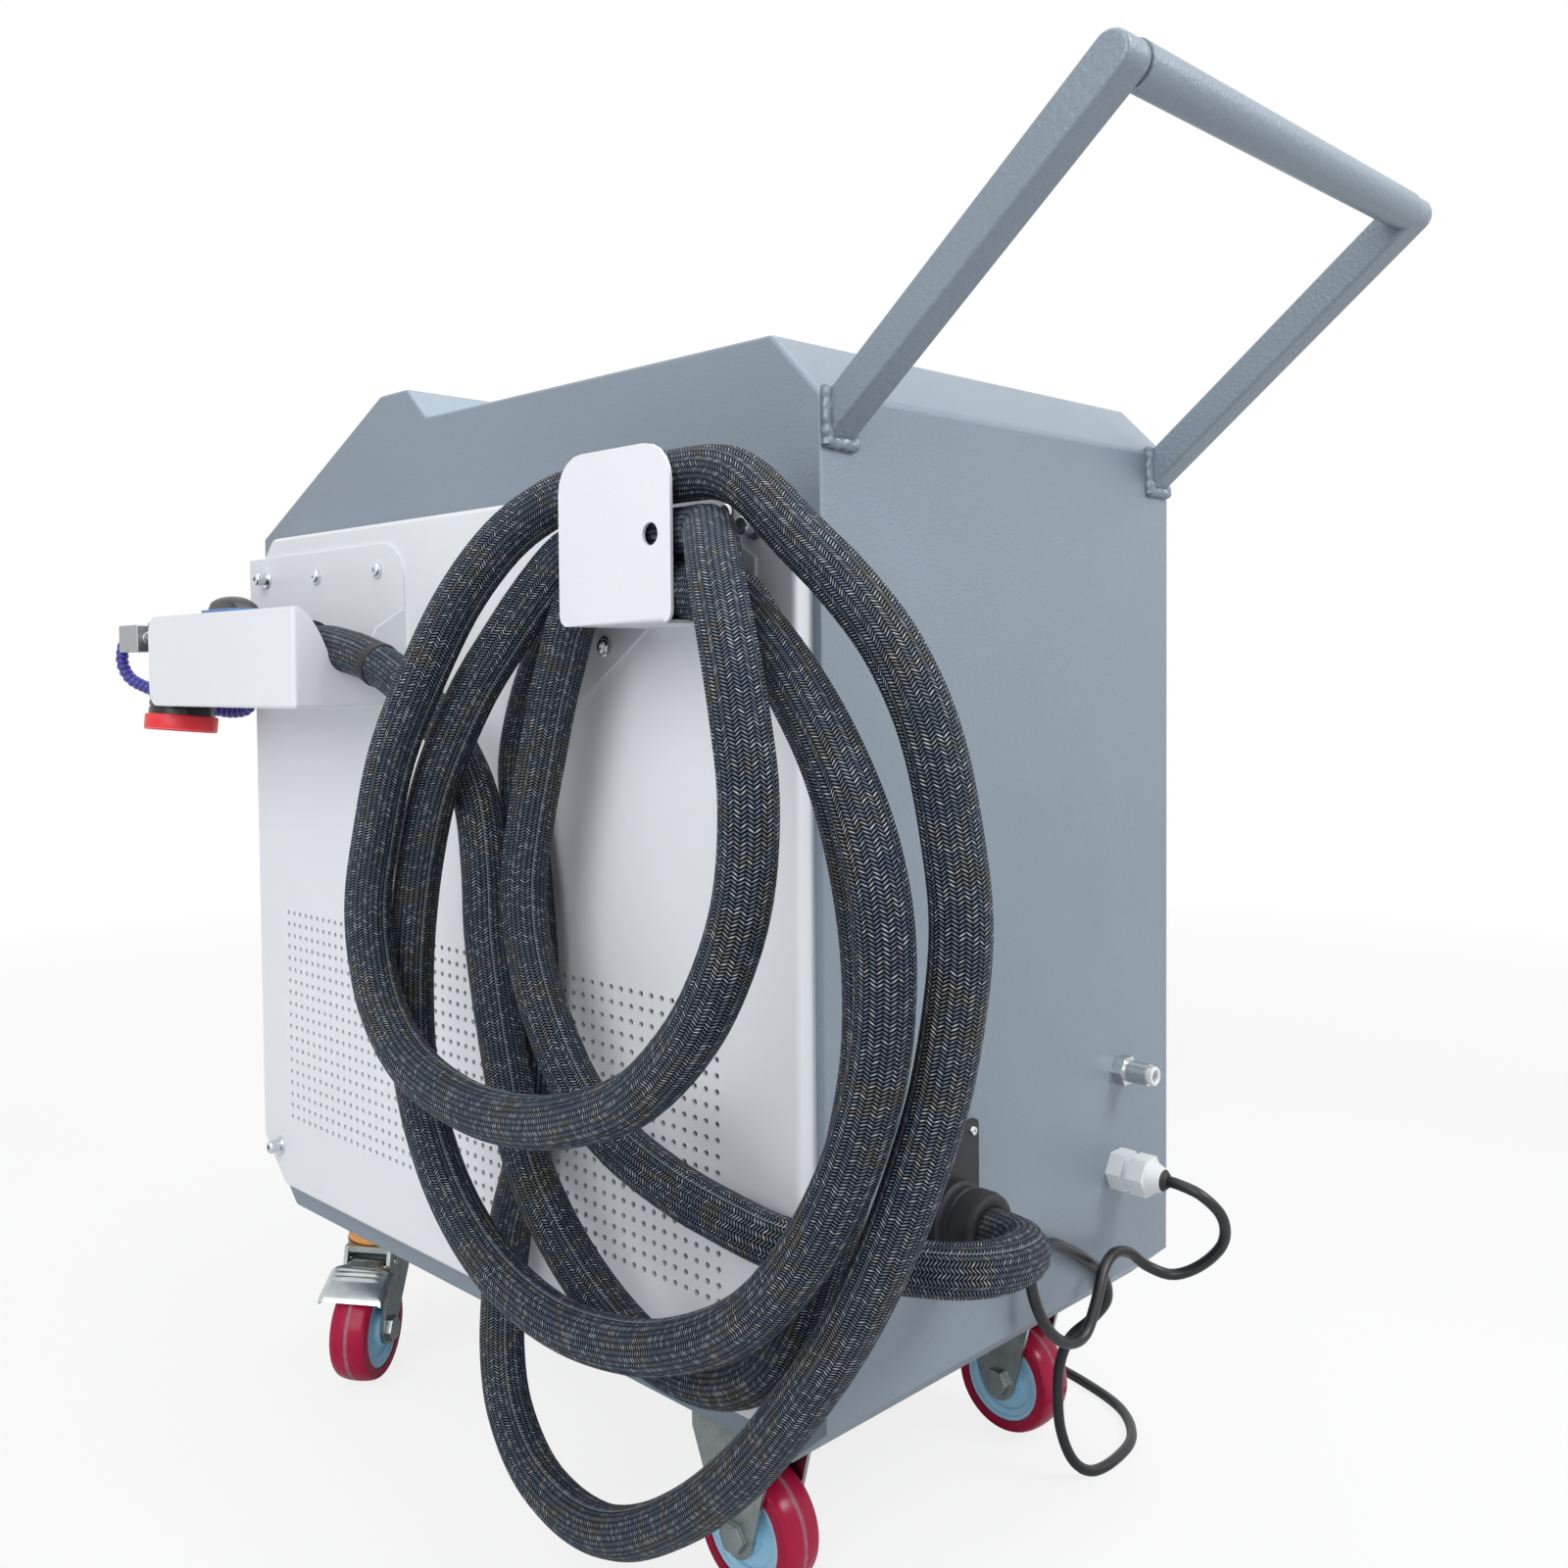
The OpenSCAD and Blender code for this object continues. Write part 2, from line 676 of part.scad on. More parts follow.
// Shapes used by several pieces
module tube(p, d, sides) {
    t = headings(p);
    u = sideways(t);
    last = len(p) - 1;
    points = [for (i = [0:last], k = [0:sides - 1])
        p[i] + (u[i] * cos(360 * k / sides) + cross(t[i], u[i]) * sin(360 * k / sides)) * d / 2];
    walls = [for (i = [0:last - 1], k = [0:sides - 1])
        let (a = i * sides + k, b = i * sides + (k + 1) % sides)
        each [[a, b + sides, b], [a, a + sides, b + sides]]];
    foot = [for (k = [1:sides - 2]) [0, k, k + 1]];
    head = [for (k = [1:sides - 2]) [last * sides, last * sides + k + 1, last * sides + k]];
    polyhedron(points, concat(walls, foot, head));
}

// Outline in depth and height, drawn across the width and centred on it
module across(w) rotate([90, 0, 90]) translate([0, 0, -w / 2]) linear_extrude(w) children();

// Outline in depth and height, from x outward by t
module outward(x, t) translate([x, 0, 0]) rotate([90, 0, 90]) linear_extrude(t) children();

// Outline in width and height, from the place y by t toward the rear
module rearward(y, t) translate([0, y + t, 0]) rotate([90, 0, 0]) linear_extrude(t) children();

module rod_x(r, h) rotate([0, 90, 0]) cylinder(r = r, h = h);

module rod_y(r, h) rotate([-90, 0, 0]) cylinder(r = r, h = h);

module hex_y(w, h) rotate([-90, 0, 0]) cylinder(r = w / 2 / cos(30), h = h, $fn = 6);

module on_slope(x, v) translate([x, slope_y, slope_z]) rotate([slope_angle, 0, 0])
    translate([0, v, 0]) children();

module plate_2d(w, h, r) polygon(rounded([[-w / 2, -h / 2], [w / 2, -h / 2], [w / 2, h / 2],
    [-w / 2, h / 2]], [r, r, r, r]));

// Cabinet
module cabinet_shell() color("slategray") difference() {
    across(cab_width) polygon(cab_outline);
    across(cab_width - 2 * sheet) polygon(inset(cab_outline, sheet));
    translate([0, vent_reach - vent_run - vent_pitch, vent_foot - vent_pitch])
        cube([cab_width, vent_run + 2 * vent_pitch, vent_rise + 2 * vent_pitch]);
    translate([-half_width - over, 0, fan_z]) rod_x(fan_bore / 2, sheet + 2 * over);
    translate([exit_x, half_depth - sheet - over, exit_z])
        rod_y(hose_d / 2 + sheet, sheet + 2 * over);
    translate([air_x, half_depth - sheet - over, air_z])
        rod_y(air_body_d / 2 - sheet, sheet + 2 * over);
    translate([gland_x, half_depth - sheet - over, gland_z])
        rod_y(gland_neck_d / 2 - sheet, sheet + 2 * over);
    on_slope(screen_x, 0) translate([-screen_w / 2 + screen_edge - seat_gap,
        -screen_h / 2 + screen_edge - seat_gap, -sheet - over])
        cube([screen_w - 2 * screen_edge + 2 * seat_gap, screen_h - 2 * screen_edge + 2 * seat_gap,
            sheet + 2 * over]);
    on_slope(button_x, estop_v) translate([0, 0, -sheet - over])
        cylinder(d = estop_body_d + 2 * bolt_gap, h = sheet + 2 * over);
    for (v = [key_v, lamp_v]) on_slope(button_x, v) translate([0, 0, -sheet - over])
        cylinder(d = switch_body_d + 2 * bolt_gap, h = sheet + 2 * over);
    for (p = bolt_places) translate([p[0], p[1], ride_height - over])
        cylinder(d = bolt_d + 2 * bolt_gap, h = sheet + 2 * over);
}

module base_plate() color("silver") difference() {
    translate([-half_width + 3 * sheet, -half_depth + front_foot + 3 * sheet, ride_height + sheet])
        cube([cab_width - 6 * sheet, cab_depth - front_foot - rear_foot_run - 6 * sheet, floor_t]);
    for (p = bolt_places) translate([p[0], p[1], ride_height])
        cylinder(d = bolt_d + 2 * bolt_gap, h = sheet + floor_t + over);
}

// Perforated sheet with a folded rim that stands it off the side wall
module vented_panel(columns, rows, reach, foot) {
    outline = rounded(panel_outline, [for (i = panel_outline) panel_round]);
    outward(panel_x - sheet, sheet) difference() {
        polygon(outline);
        for (i = [0:columns - 1], j = [0:rows - 1])
            translate([reach - i * vent_pitch, foot + j * vent_pitch])
                circle(d = vent_hole, $fn = 24);
    }
    outward(half_width, panel_stand - sheet) difference() {
        polygon(outline);
        polygon(inset(outline, sheet));
    }
}

module hose_side_panel() color("whitesmoke")
    vented_panel(vent_columns, vent_rows, vent_reach, vent_foot);

module far_side_panel() color("whitesmoke") mirror([1, 0, 0])
    vented_panel(far_columns, far_rows, far_run / 2, fan_z - far_rise / 2);

module thumb_screw(x, place) translate([x, place[0], place[1]]) {
    rod_x(thumb_collar / 2, thumb_collar_t);
    rod_x(thumb_d / 2, thumb_h);
}

module panel_screws() color("silver") {
    for (p = thumb_places) {
        thumb_screw(panel_x + (p[0] < 0 && p[1] > tray_low ? sheet : 0), p);
        mirror([1, 0, 0]) thumb_screw(panel_x, p);
    }
}

// Controls
module screen_bezel() color("dimgray") on_slope(screen_x, 0) difference() {
    union() {
        linear_extrude(screen_t) plate_2d(screen_w, screen_h, screen_round);
        translate([-screen_w / 2 + screen_edge, -screen_h / 2 + screen_edge, -screen_depth])
            cube([screen_w - 2 * screen_edge, screen_h - 2 * screen_edge, screen_depth + over]);
    }
    translate([-screen_w / 2 + screen_edge, -screen_h / 2 + screen_edge,
        screen_t - glass_t - seat_gap])
        cube([screen_w - 2 * screen_edge, screen_h - 2 * screen_edge, screen_t]);
}

module screen_glass() color("black") on_slope(screen_x, 0)
    translate([-screen_w / 2 + screen_edge + seat_gap, -screen_h / 2 + screen_edge + seat_gap,
        screen_t - glass_t - seat_gap])
    cube([screen_w - 2 * screen_edge - 2 * seat_gap, screen_h - 2 * screen_edge - 2 * seat_gap,
        glass_t]);

module estop_collar() color("gold") on_slope(button_x, estop_v) difference() {
    union() {
        cylinder(d = estop_plate_d, h = estop_plate_t);
        cylinder(d = estop_neck_d, h = estop_neck_h);
        translate([0, 0, -estop_depth]) cylinder(d = estop_body_d, h = estop_depth);
    }
    translate([0, 0, -estop_depth + estop_plate_t])
        cylinder(r = estop_stem_d / 2 + run_gap, h = estop_depth + estop_neck_h);
}

module estop_button() color("crimson") on_slope(button_x, estop_v) {
    translate([0, 0, estop_head_low]) rotate_extrude() polygon([[0, 0],
        [estop_d / 2 - 4 * over, 0], [estop_d / 2, 2 * over], [estop_d / 2, estop_head_h - 5 * over],
        [estop_d / 2 - 3 * over, estop_head_h - 2 * over], [estop_d / 4, estop_head_h],
        [0, estop_head_h]]);
    translate([0, 0, -estop_depth / 2])
        cylinder(d = estop_stem_d, h = estop_depth / 2 + estop_head_low + over);
}

module switch_body() {
    cylinder(d = switch_bezel_d, h = switch_bezel_h);
    translate([0, 0, -switch_depth]) cylinder(d = switch_body_d, h = switch_depth);
}

module key_switch_body() color("dimgray") on_slope(button_x, key_v) difference() {
    switch_body();
    translate([0, 0, switch_bezel_h - key_barrel_len - seat_gap])
        cylinder(r = key_barrel_d / 2 + run_gap, h = key_barrel_len + over);
}

module key() color("silver") on_slope(button_x, key_v) {
    translate([0, 0, switch_bezel_h - key_barrel_len]) cylinder(d = key_barrel_d,
        h = key_barrel_len);
    translate([-key_t / 2, -key_barrel_d / 4, switch_bezel_h - over])
        cube([key_t, key_barrel_d / 2, key_bow_h / 2]);
    translate([-key_t / 2, 0, switch_bezel_h + key_bow_h - key_bow_w / 2]) difference() {
        rod_x(key_bow_w / 2, key_t);
        translate([-over, 0, key_bow_w / 4]) rod_x(key_bow_w / 8, key_t + 2 * over);
    }
}

module power_lamp() color("limegreen") on_slope(button_x, lamp_v) {
    switch_body();
    translate([0, 0, switch_bezel_h - over]) cylinder(d1 = lamp_lens_d,
        d2 = lamp_lens_d - 2 * switch_bezel_h / 2, h = lamp_lens_h);
}

// Handle
module arm(x) outward(x, arm_w) {
    polygon(arm_outline);
    translate(bar_axis) circle(d = arm_w);
}

module handle_arm_hose_side() color("slategray") arm(arm_span / 2 - arm_w);

module handle_arm_far_side() color("slategray") arm(-arm_span / 2);

module handle_bar() color("slategray") translate([-bar_len / 2, bar_reach, bar_height])
    rod_x(bar_d / 2, bar_len);

// Beads along the joints of the arms with the rear wall
module handle_welds() color("gray") difference() {
    for (s = [-1, 1]) {
        for (z = [arm_foot_low, arm_foot_high]) translate([s * (arm_span - arm_w) / 2
            - arm_w / 2 - bead_r, half_depth, z]) rod_x(bead_r, arm_w + 2 * bead_r);
        for (e = [0, arm_w]) translate([s * (arm_span / 2 - e), half_depth,
            arm_foot_low - bead_r]) cylinder(r = bead_r, h = arm_foot_high - arm_foot_low
                + 2 * bead_r);
    }
    for (s = [-arm_span / 2, arm_span / 2 - arm_w]) arm(s);
    across(cab_width + 4 * bead_r) polygon(cab_outline);
}

// Hook, tray and their screws
module hose_hook() color("whitesmoke") {
    outward(panel_x, sheet) polygon(hook_pad_outline);
    translate([panel_x, hook_front + hook_foot_round, hook_low])
        cube([hook_out - sheet, hook_w - 2 * hook_foot_round, sheet]);
    outward(hook_x - sheet, sheet) difference() {
        polygon(rounded(hook_outline, [hook_foot_round, hook_foot_round, hook_round, hook_round]));
        translate([hook_hole_y, hook_hole_z]) circle(d = hook_hole);
    }
}

module gun_tray() color("whitesmoke") {
    back = [[tray_front, tray_low], [-tray_end, tray_low], [-tray_end, tray_low + tray_back],
        [tray_front, tray_low + tray_back]];
    wall = [[tray_front, tray_low], [-tray_end, tray_low], [-tray_end, tray_top],
        [tray_front, tray_top]];
    outward(panel_x, sheet) polygon(rounded(back, [sheet, sheet, tray_back_round, sheet]));
    translate([panel_x, tray_front + tray_round, tray_low])
        cube([tray_out - sheet, tray_len - tray_round, sheet]);
    outward(tray_x - sheet, sheet) polygon(rounded(wall, [tray_round, sheet, sheet, tray_round]));
    rearward(-tray_end - sheet, sheet) difference() {
        polygon(tray_end_outline);
        translate([notch_x, notch_z]) circle(r = notch_r);
    }
}

module pan_screw_x(p) translate([panel_x + sheet, p[0], p[1]]) {
    rod_x(pan_d / 2, pan_h / 2);
    rod_x(pan_d / 2 - sheet / 2, pan_h);
}

module bracket_screws() color("silver") {
    for (p = concat(tray_screws, hook_screws)) pan_screw_x(p);
    for (i = [-1, 1], z = [exit_z - exit_plate_low + exit_screw_in,
        exit_z + exit_plate_high - exit_screw_in])
        translate([exit_x + i * (exit_plate_w / 2 - exit_screw_in), half_depth + exit_plate_t, z])
            rod_y(pan_d / 4, pan_h / 2);
}

// Hose and what it passes through
module hose_exit_plate() color("#262626") rearward(half_depth, exit_plate_t) difference() {
    translate([exit_x, exit_z]) polygon(rounded([[-exit_plate_w / 2, -exit_plate_low],
        [exit_plate_w / 2, -exit_plate_low], [exit_plate_w / 2, exit_plate_high],
        [-exit_plate_w / 2, exit_plate_high]], [for (i = [0:3]) 2 * sheet]));
    translate([exit_x, exit_z]) circle(r = hose_d / 2 + sheet);
}

module hose_exit_boot() color("#303030") translate([exit_x, half_depth + exit_plate_t, exit_z])
    difference() {
        union() {
            rod_y(boot_flange_d / 2, boot_flange_t);
            rod_y(boot_d / 2, boot_len);
        }
        translate([0, -over, 0]) rod_y(hose_d / 2 + hose_gap, boot_len + 2 * over);
        // Clamp slot in the ring
        translate([-boot_d / 2, boot_flange_t + sheet, hose_d / 2 - sheet])
            cube([sheet, boot_len, boot_d / 2]);
    }

module laser_hose() color("#1a1a1a") tube(hose_route, hose_d, hose_sides);

// Air inlet and cable gland
module air_fitting_body() color("silver") difference() {
    union() {
        translate([air_x, half_depth, air_z]) hex_y(air_hex, air_hex_t);
        translate([air_x, half_depth, air_z]) rod_y(air_body_d / 2, air_hex_t + air_body_len);
        translate([air_x, half_depth - 3 * air_hex_t, air_z])
            rod_y(air_body_d / 2 - sheet - bolt_gap, 3 * air_hex_t + over);
        translate([air_x, half_depth - sheet - air_hex_t, air_z]) hex_y(air_hex, air_hex_t);
    }
    translate([air_x, air_end - ring_sleeve_len, air_z])
        rod_y(ring_sleeve_d / 2 + run_gap, ring_sleeve_len + over);
    translate([air_x, half_depth + sheet, air_z])
        rod_y(air_tube_d / 2 + 2 * run_gap, air_hex_t + air_body_len);
    translate([air_x, half_depth - 3 * air_hex_t - over, air_z])
        rod_y(air_tube_d / 2 - sheet / 2, 3 * air_hex_t + air_body_len + 2 * over);
}

module air_release_ring() color("whitesmoke") difference() {
    union() {
        translate([air_x, air_end - ring_sleeve_len + ring_travel + seat_gap, air_z])
            rod_y(ring_sleeve_d / 2, ring_sleeve_len);
        translate([air_x, air_end + ring_travel + seat_gap, air_z])
            rod_y(ring_flange_d / 2, ring_flange_t);
    }
    translate([air_x, air_end - ring_sleeve_len, air_z])
        rod_y(air_tube_d / 2 + run_gap, 2 * ring_sleeve_len + ring_flange_t);
}

module gland_body() color("gainsboro") difference() {
    union() {
        translate([gland_x, half_depth, gland_z]) hex_y(gland_hex, gland_hex_t);
        translate([gland_x, half_depth, gland_z])
            rod_y(gland_neck_d / 2, gland_hex_t + gland_neck_len);
        translate([gland_x, half_depth - gland_hex_t, gland_z])
            rod_y(gland_neck_d / 2 - sheet - bolt_gap, gland_hex_t + over);
        translate([gland_x, half_depth - sheet - gland_hex_t / 2, gland_z])
            hex_y(gland_hex, gland_hex_t / 2);
    }
    translate([gland_x, half_depth - gland_hex_t - over, gland_z])
        rod_y(cable_d / 2 + bolt_gap, 2 * gland_hex_t + gland_neck_len + 2 * over);
}

module gland_nut() color("gainsboro") translate([gland_x, half_depth + gland_hex_t
    + gland_neck_len, gland_z]) {
    hex_y(gland_hex, gland_nut_t);
    translate([0, gland_nut_t, 0]) rotate([-90, 0, 0])
        cylinder(d1 = gland_hex - sheet, d2 = gland_mouth_d, h = gland_dome_t);
}

module power_cable() color("#202020") tube(cable_route, cable_d, cable_sides);

// The coil spirals in on the floor, climbs one layer while the spiral turns
// back, and spirals out again on top; its last quarter rises to the plug.
coil_half = coil_turns / 2;
function climb(s) = max(0, min(1, 2 * (s - coil_half + 1 / 4)));
function coil_point(s) = let (r = coil_r - coil_pitch * (coil_half - abs(s - coil_half)),
        rise = max(0, 1 + 2 * (s - coil_turns)))
    [coil_x + r * cos(-360 * s), coil_y + r * sin(-360 * s),
        coil_low + coil_pitch * climb(s) + rise * (plug_z - coil_low - coil_pitch)];
coil_points = concat([[coil_x + coil_r, coil_y + cable_d, coil_low]],
    [for (k = [0:coil_turns * coil_rings]) coil_point(k / coil_rings)],
    [[coil_x + coil_r, coil_y - cable_d, plug_z]]);

module power_cable_coil() color("#202020") tube(coil_points, cable_d, coil_sides);

module power_plug() color("#181818") translate([coil_x + coil_r, coil_y - cable_d, plug_z])
    rotate([90, 0, 0]) {
        cylinder(r1 = cable_d / 2 + over, r2 = plug_relief_r, h = plug_relief_len);
        translate([0, 0, plug_relief_len]) cylinder(r1 = plug_relief_r, r2 = plug_d / 2,
            h = plug_len / 3);
        translate([0, 0, plug_relief_len + plug_len / 3]) cylinder(d = plug_d,
            h = plug_len * 2 / 3);
        for (i = [-1, 1]) translate([i * plug_pin_gap / 2, 0, plug_relief_len + plug_len - over])
            cylinder(d = plug_pin_d, h = plug_pin_len + over);
    }

// Gun
module gun_housing() color("#2b2b2b") difference() {
    union() {
        hull() for (x = [-1, 1], y = [gun_front + gun_edge, gun_back - gun_edge],
            z = [gun_low + gun_edge, gun_top - gun_edge])
            translate([gun_x + x * (gun_w / 2 - gun_edge), y, z]) sphere(r = gun_edge, $fn = 20);
        hull() {
            translate([gun_x, gun_back - gun_edge, grip_z]) sphere(r = grip_r, $fn = 28);
            translate([gun_x, butt_y, butt_z]) sphere(r = grip_end_r, $fn = 28);
        }
        translate([gun_x, butt_y, butt_z]) rod_y(butt_r, butt_end - butt_y);
        translate([gun_x, -lens_reach, head_low]) cylinder(r = head_r, h = head_top - head_low);
        translate([gun_x, -lens_reach, head_top]) cylinder(r1 = head_r, r2 = head_r - head_cone,
            h = head_cone);
        translate([gun_x, -lens_reach, barb_z]) rotate([0, 0, atan2(barb_share[1], barb_share[0])])
            rod_x(barb_d / 2, barb_end);
    }
    translate([gun_x, -lens_reach, lens_low - over]) cylinder(r = lens_d / 2 + seat_gap,
        h = head_low - lens_low + over);
    translate([gun_x, -lens_reach - head_r - over, block_low + block_h / 2])
        rod_y(stem_d / 2 + run_gap, stem_in + seat_gap + over);
    translate([gun_x - trigger_w / 2 - trigger_gap, trigger_y - trigger_len,
        trigger_z - 2 * grip_r - trigger_pin_d]) cube([trigger_w + 2 * trigger_gap,
            trigger_len + trigger_pin_d, 2 * grip_r + 2 * trigger_pin_d]);
    translate([gun_x - trigger_pin_len / 2 - trigger_gap, trigger_y, trigger_z])
        rod_x(trigger_pin_d / 2 + run_gap, trigger_pin_len + 2 * trigger_gap);
}

module gun_trigger() color("#101010") {
    translate([gun_x - trigger_w / 2, 0, 0]) rotate([90, 0, 90]) linear_extrude(trigger_w) {
        translate([trigger_y, trigger_z]) circle(d = trigger_pin_d + 2 * sheet);
        polygon([[trigger_y, trigger_z + trigger_pin_d / 2],
            [trigger_y - trigger_len + trigger_t / 2, trigger_z - trigger_pin_d / 2],
            [trigger_y - trigger_len + trigger_t / 2, trigger_z - trigger_t - trigger_pin_d],
            [trigger_y - trigger_t, trigger_z - trigger_t],
            [trigger_y, trigger_z - trigger_pin_d]]);
    }
    translate([gun_x - trigger_pin_len / 2, trigger_y, trigger_z])
        rod_x(trigger_pin_d / 2, trigger_pin_len);
}

module gun_lens_tube() color("#151515") translate([gun_x, -lens_reach, 0]) difference() {
    translate([0, 0, lens_low]) cylinder(d = lens_d, h = head_low - lens_low);
    translate([0, 0, lens_low - over]) cylinder(d = lens_d - 4 * sheet,
        h = head_low - lens_low - 3 * sheet);
    for (z = [1, 2]) translate([0, 0, cap_low + cap_h + 3 * sheet * z]) difference() {
        cylinder(d = lens_d + 2 * over, h = sheet / 2);
        translate([0, 0, -over]) cylinder(d = lens_d - sheet, h = sheet / 2 + 2 * over);
    }
}

module gun_lens_cap() color("crimson") translate([gun_x, -lens_reach, cap_low]) difference() {
    cylinder(d = cap_d, h = cap_h);
    translate([0, 0, lens_low - cap_low - seat_gap])
        cylinder(r = lens_d / 2 + run_gap, h = cap_h);
    translate([0, 0, -over]) cylinder(d = cap_d - 4 * sheet, h = over + cap_recess);
}

module gun_knob() color("#2b2b2b") translate([gun_x, (knob_front + knob_back) / 2, gun_top]) hull() {
    linear_extrude(sheet) plate_2d(knob_w, knob_back - knob_front, knob_round);
    translate([0, 0, knob_h - sheet]) linear_extrude(sheet)
        plate_2d(knob_w - knob_round, knob_back - knob_front - knob_round, knob_round);
}

module gun_air_connector() color("darkgray") {
    translate([gun_x - block_w / 2, block_front, block_low])
        cube([block_w, block_back - block_front, block_h]);
    translate([gun_x, block_back - over, block_low + block_h / 2])
        rod_y(stem_d / 2, -lens_reach - head_r + stem_in - block_back + over);
}

module gun_air_tube() color("mediumblue") tube(refine(air_line_route, 2), air_line_d, 8);

// Inside
module laser_source() color("gray") translate([-source_w / 2, source_y - source_d / 2, deck_z]) {
    cube([source_w, source_d, source_h]);
    for (i = [0:fin_count - 1]) translate([(source_w - fin_t) * i / (fin_count - 1), 0,
        source_h - over]) cube([fin_t, source_d, fin_h + over]);
}

module power_supply() color("silver") translate([-supply_w / 2, supply_y - supply_d / 2, deck_z])
    difference() {
        cube([supply_w, supply_d, supply_h]);
        for (i = [1:slot_count]) translate([supply_w * i / (slot_count + 1) - slot_w / 2,
            supply_d / 6, supply_h - sheet]) cube([slot_w, supply_d * 2 / 3, sheet + over]);
    }

module control_board() color("seagreen") translate([-board_w / 2, board_y - board_d / 2, deck_z]) {
    for (x = [post_d, board_w - post_d], y = [post_d, board_d - post_d])
        translate([x, y, 0]) cylinder(d = post_d, h = post_h);
    translate([0, 0, post_h]) cube([board_w, board_d, board_t]);
    for (i = [1:4]) translate([board_w * i / 5, board_d / 4, post_h + board_t - board_t / 2])
        cylinder(d = 2 * post_d, h = 3 * post_d);
    translate([board_w / 3, board_d / 2, post_h + board_t / 2])
        cube([board_w / 3, board_d / 3, post_d]);
}

module fan_frame() color("#222222") translate([-half_width + sheet, 0, fan_z]) rotate([0, 90, 0])
    difference() {
        union() {
            difference() {
                linear_extrude(fan_depth) plate_2d(fan_size, fan_size, strut_w);
                translate([0, 0, -over]) cylinder(d = fan_bore, h = fan_depth + 2 * over, $fn = 96);
            }
            translate([0, 0, fan_depth - fan_motor_t]) cylinder(d = fan_hub_d, h = fan_motor_t);
            for (a = [45:90:315]) rotate([0, 0, a]) translate([fan_hub_d / 2 - over, -strut_w / 2,
                fan_depth - fan_motor_t / 2])
                cube([(fan_bore - fan_hub_d) / 2 + 2 * over, strut_w, fan_motor_t / 2]);
        }
        translate([0, 0, fan_depth - fan_motor_t - over])
            cylinder(r = fan_shaft_d / 2 + run_gap, h = fan_motor_t + 2 * over);
    }

module fan_rotor() color("#2a2a2a") translate([-half_width + sheet + strut_w, 0, fan_z])
    rotate([0, 90, 0]) {
        cylinder(d = fan_hub_d, h = fan_rotor_len);
        translate([0, 0, fan_rotor_len - over])
            cylinder(d = fan_shaft_d, h = fan_depth - strut_w - fan_rotor_len);
        intersection() {
            cylinder(d = fan_rotor_d, h = fan_rotor_len);
            for (i = [0:fan_blades - 1]) rotate([0, 0, 360 * i / fan_blades])
                translate([fan_hub_d / 2 - sheet, 0, fan_rotor_len / 2]) rotate([fan_pitch, 0, 0])
                    translate([0, -fan_hub_d / 2, -fan_blade_t / 2])
                        cube([fan_rotor_d / 2, fan_hub_d, fan_blade_t]);
        }
    }

// Casters
module from_underside(x, y, turn) translate([x, y, ride_height]) rotate([0, 0, turn]) children();

module swivel_hose_side() from_underside(swivel_x, -swivel_y, near_turn_angle) children();

module swivel_far_side() from_underside(-swivel_x, -swivel_y, far_turn_angle) children();

// Outline in trail direction and height, centred across by w
module upright(w) translate([0, w / 2, 0]) rotate([90, 0, 0]) linear_extrude(w) children();

module pin_across(u, v, r, h) translate([u, h / 2, v]) rotate([90, 0, 0])
    cylinder(r = r, h = h);

module caster_plates() color("silver") {
    for (p = plate_places) translate([p[0], p[1], ride_height - plate_t]) difference() {
        linear_extrude(plate_t) plate_2d(plate_w, plate_len, plate_round);
        for (i = [-1, 1], j = [-1, 1]) translate([i * hole_x, j * hole_y, -over])
            cylinder(d = bolt_d + 2 * bolt_gap, h = plate_t + 2 * over);
    }
    for (i = [-1, 1]) from_underside(i * swivel_x, -swivel_y, 0) {
        translate([0, 0, -race_low]) cylinder(d = race_d, h = race_low - plate_t / 2);
        translate([0, 0, -crown_top - crown_t - seat_gap - over])
            cylinder(d = stud_d, h = crown_top + crown_t - plate_t / 2);
        translate([0, 0, -crown_top - crown_t - seat_gap - stud_head_t])
            cylinder(d = stud_head_d, h = stud_head_t);
    }
}

module caster_bolts() color("darkgray") for (p = bolt_places)
    translate([p[0], p[1], ride_height]) {
        translate([0, 0, -plate_t - bolt_head_t]) cylinder(r = bolt_head_w / 2 / cos(30),
            h = bolt_head_t, $fn = 6);
        translate([0, 0, -plate_t - over]) cylinder(d = bolt_d,
            h = plate_t + sheet + floor_t + nut_t + 2 * over);
        translate([0, 0, sheet + floor_t]) cylinder(r = bolt_head_w / 2 / cos(30),
            h = nut_t, $fn = 6);
    }

module swivel_seals() color("darkorange") for (i = [-1, 1]) from_underside(i * swivel_x,
    -swivel_y, 0) translate([0, 0, -crown_top + seat_gap]) rotate_extrude() {
        h = crown_top - race_low - seat_gap;
        polygon([[seal_bore_d / 2, 0], [seal_d / 2 - over, 0], [seal_d / 2, over],
            [seal_d / 2, h / 2 - over], [seal_d / 2 - seal_groove, h / 2],
            [seal_d / 2, h / 2 + over], [seal_d / 2, h - over], [seal_d / 2 - over, h],
            [seal_bore_d / 2, h]]);
    }

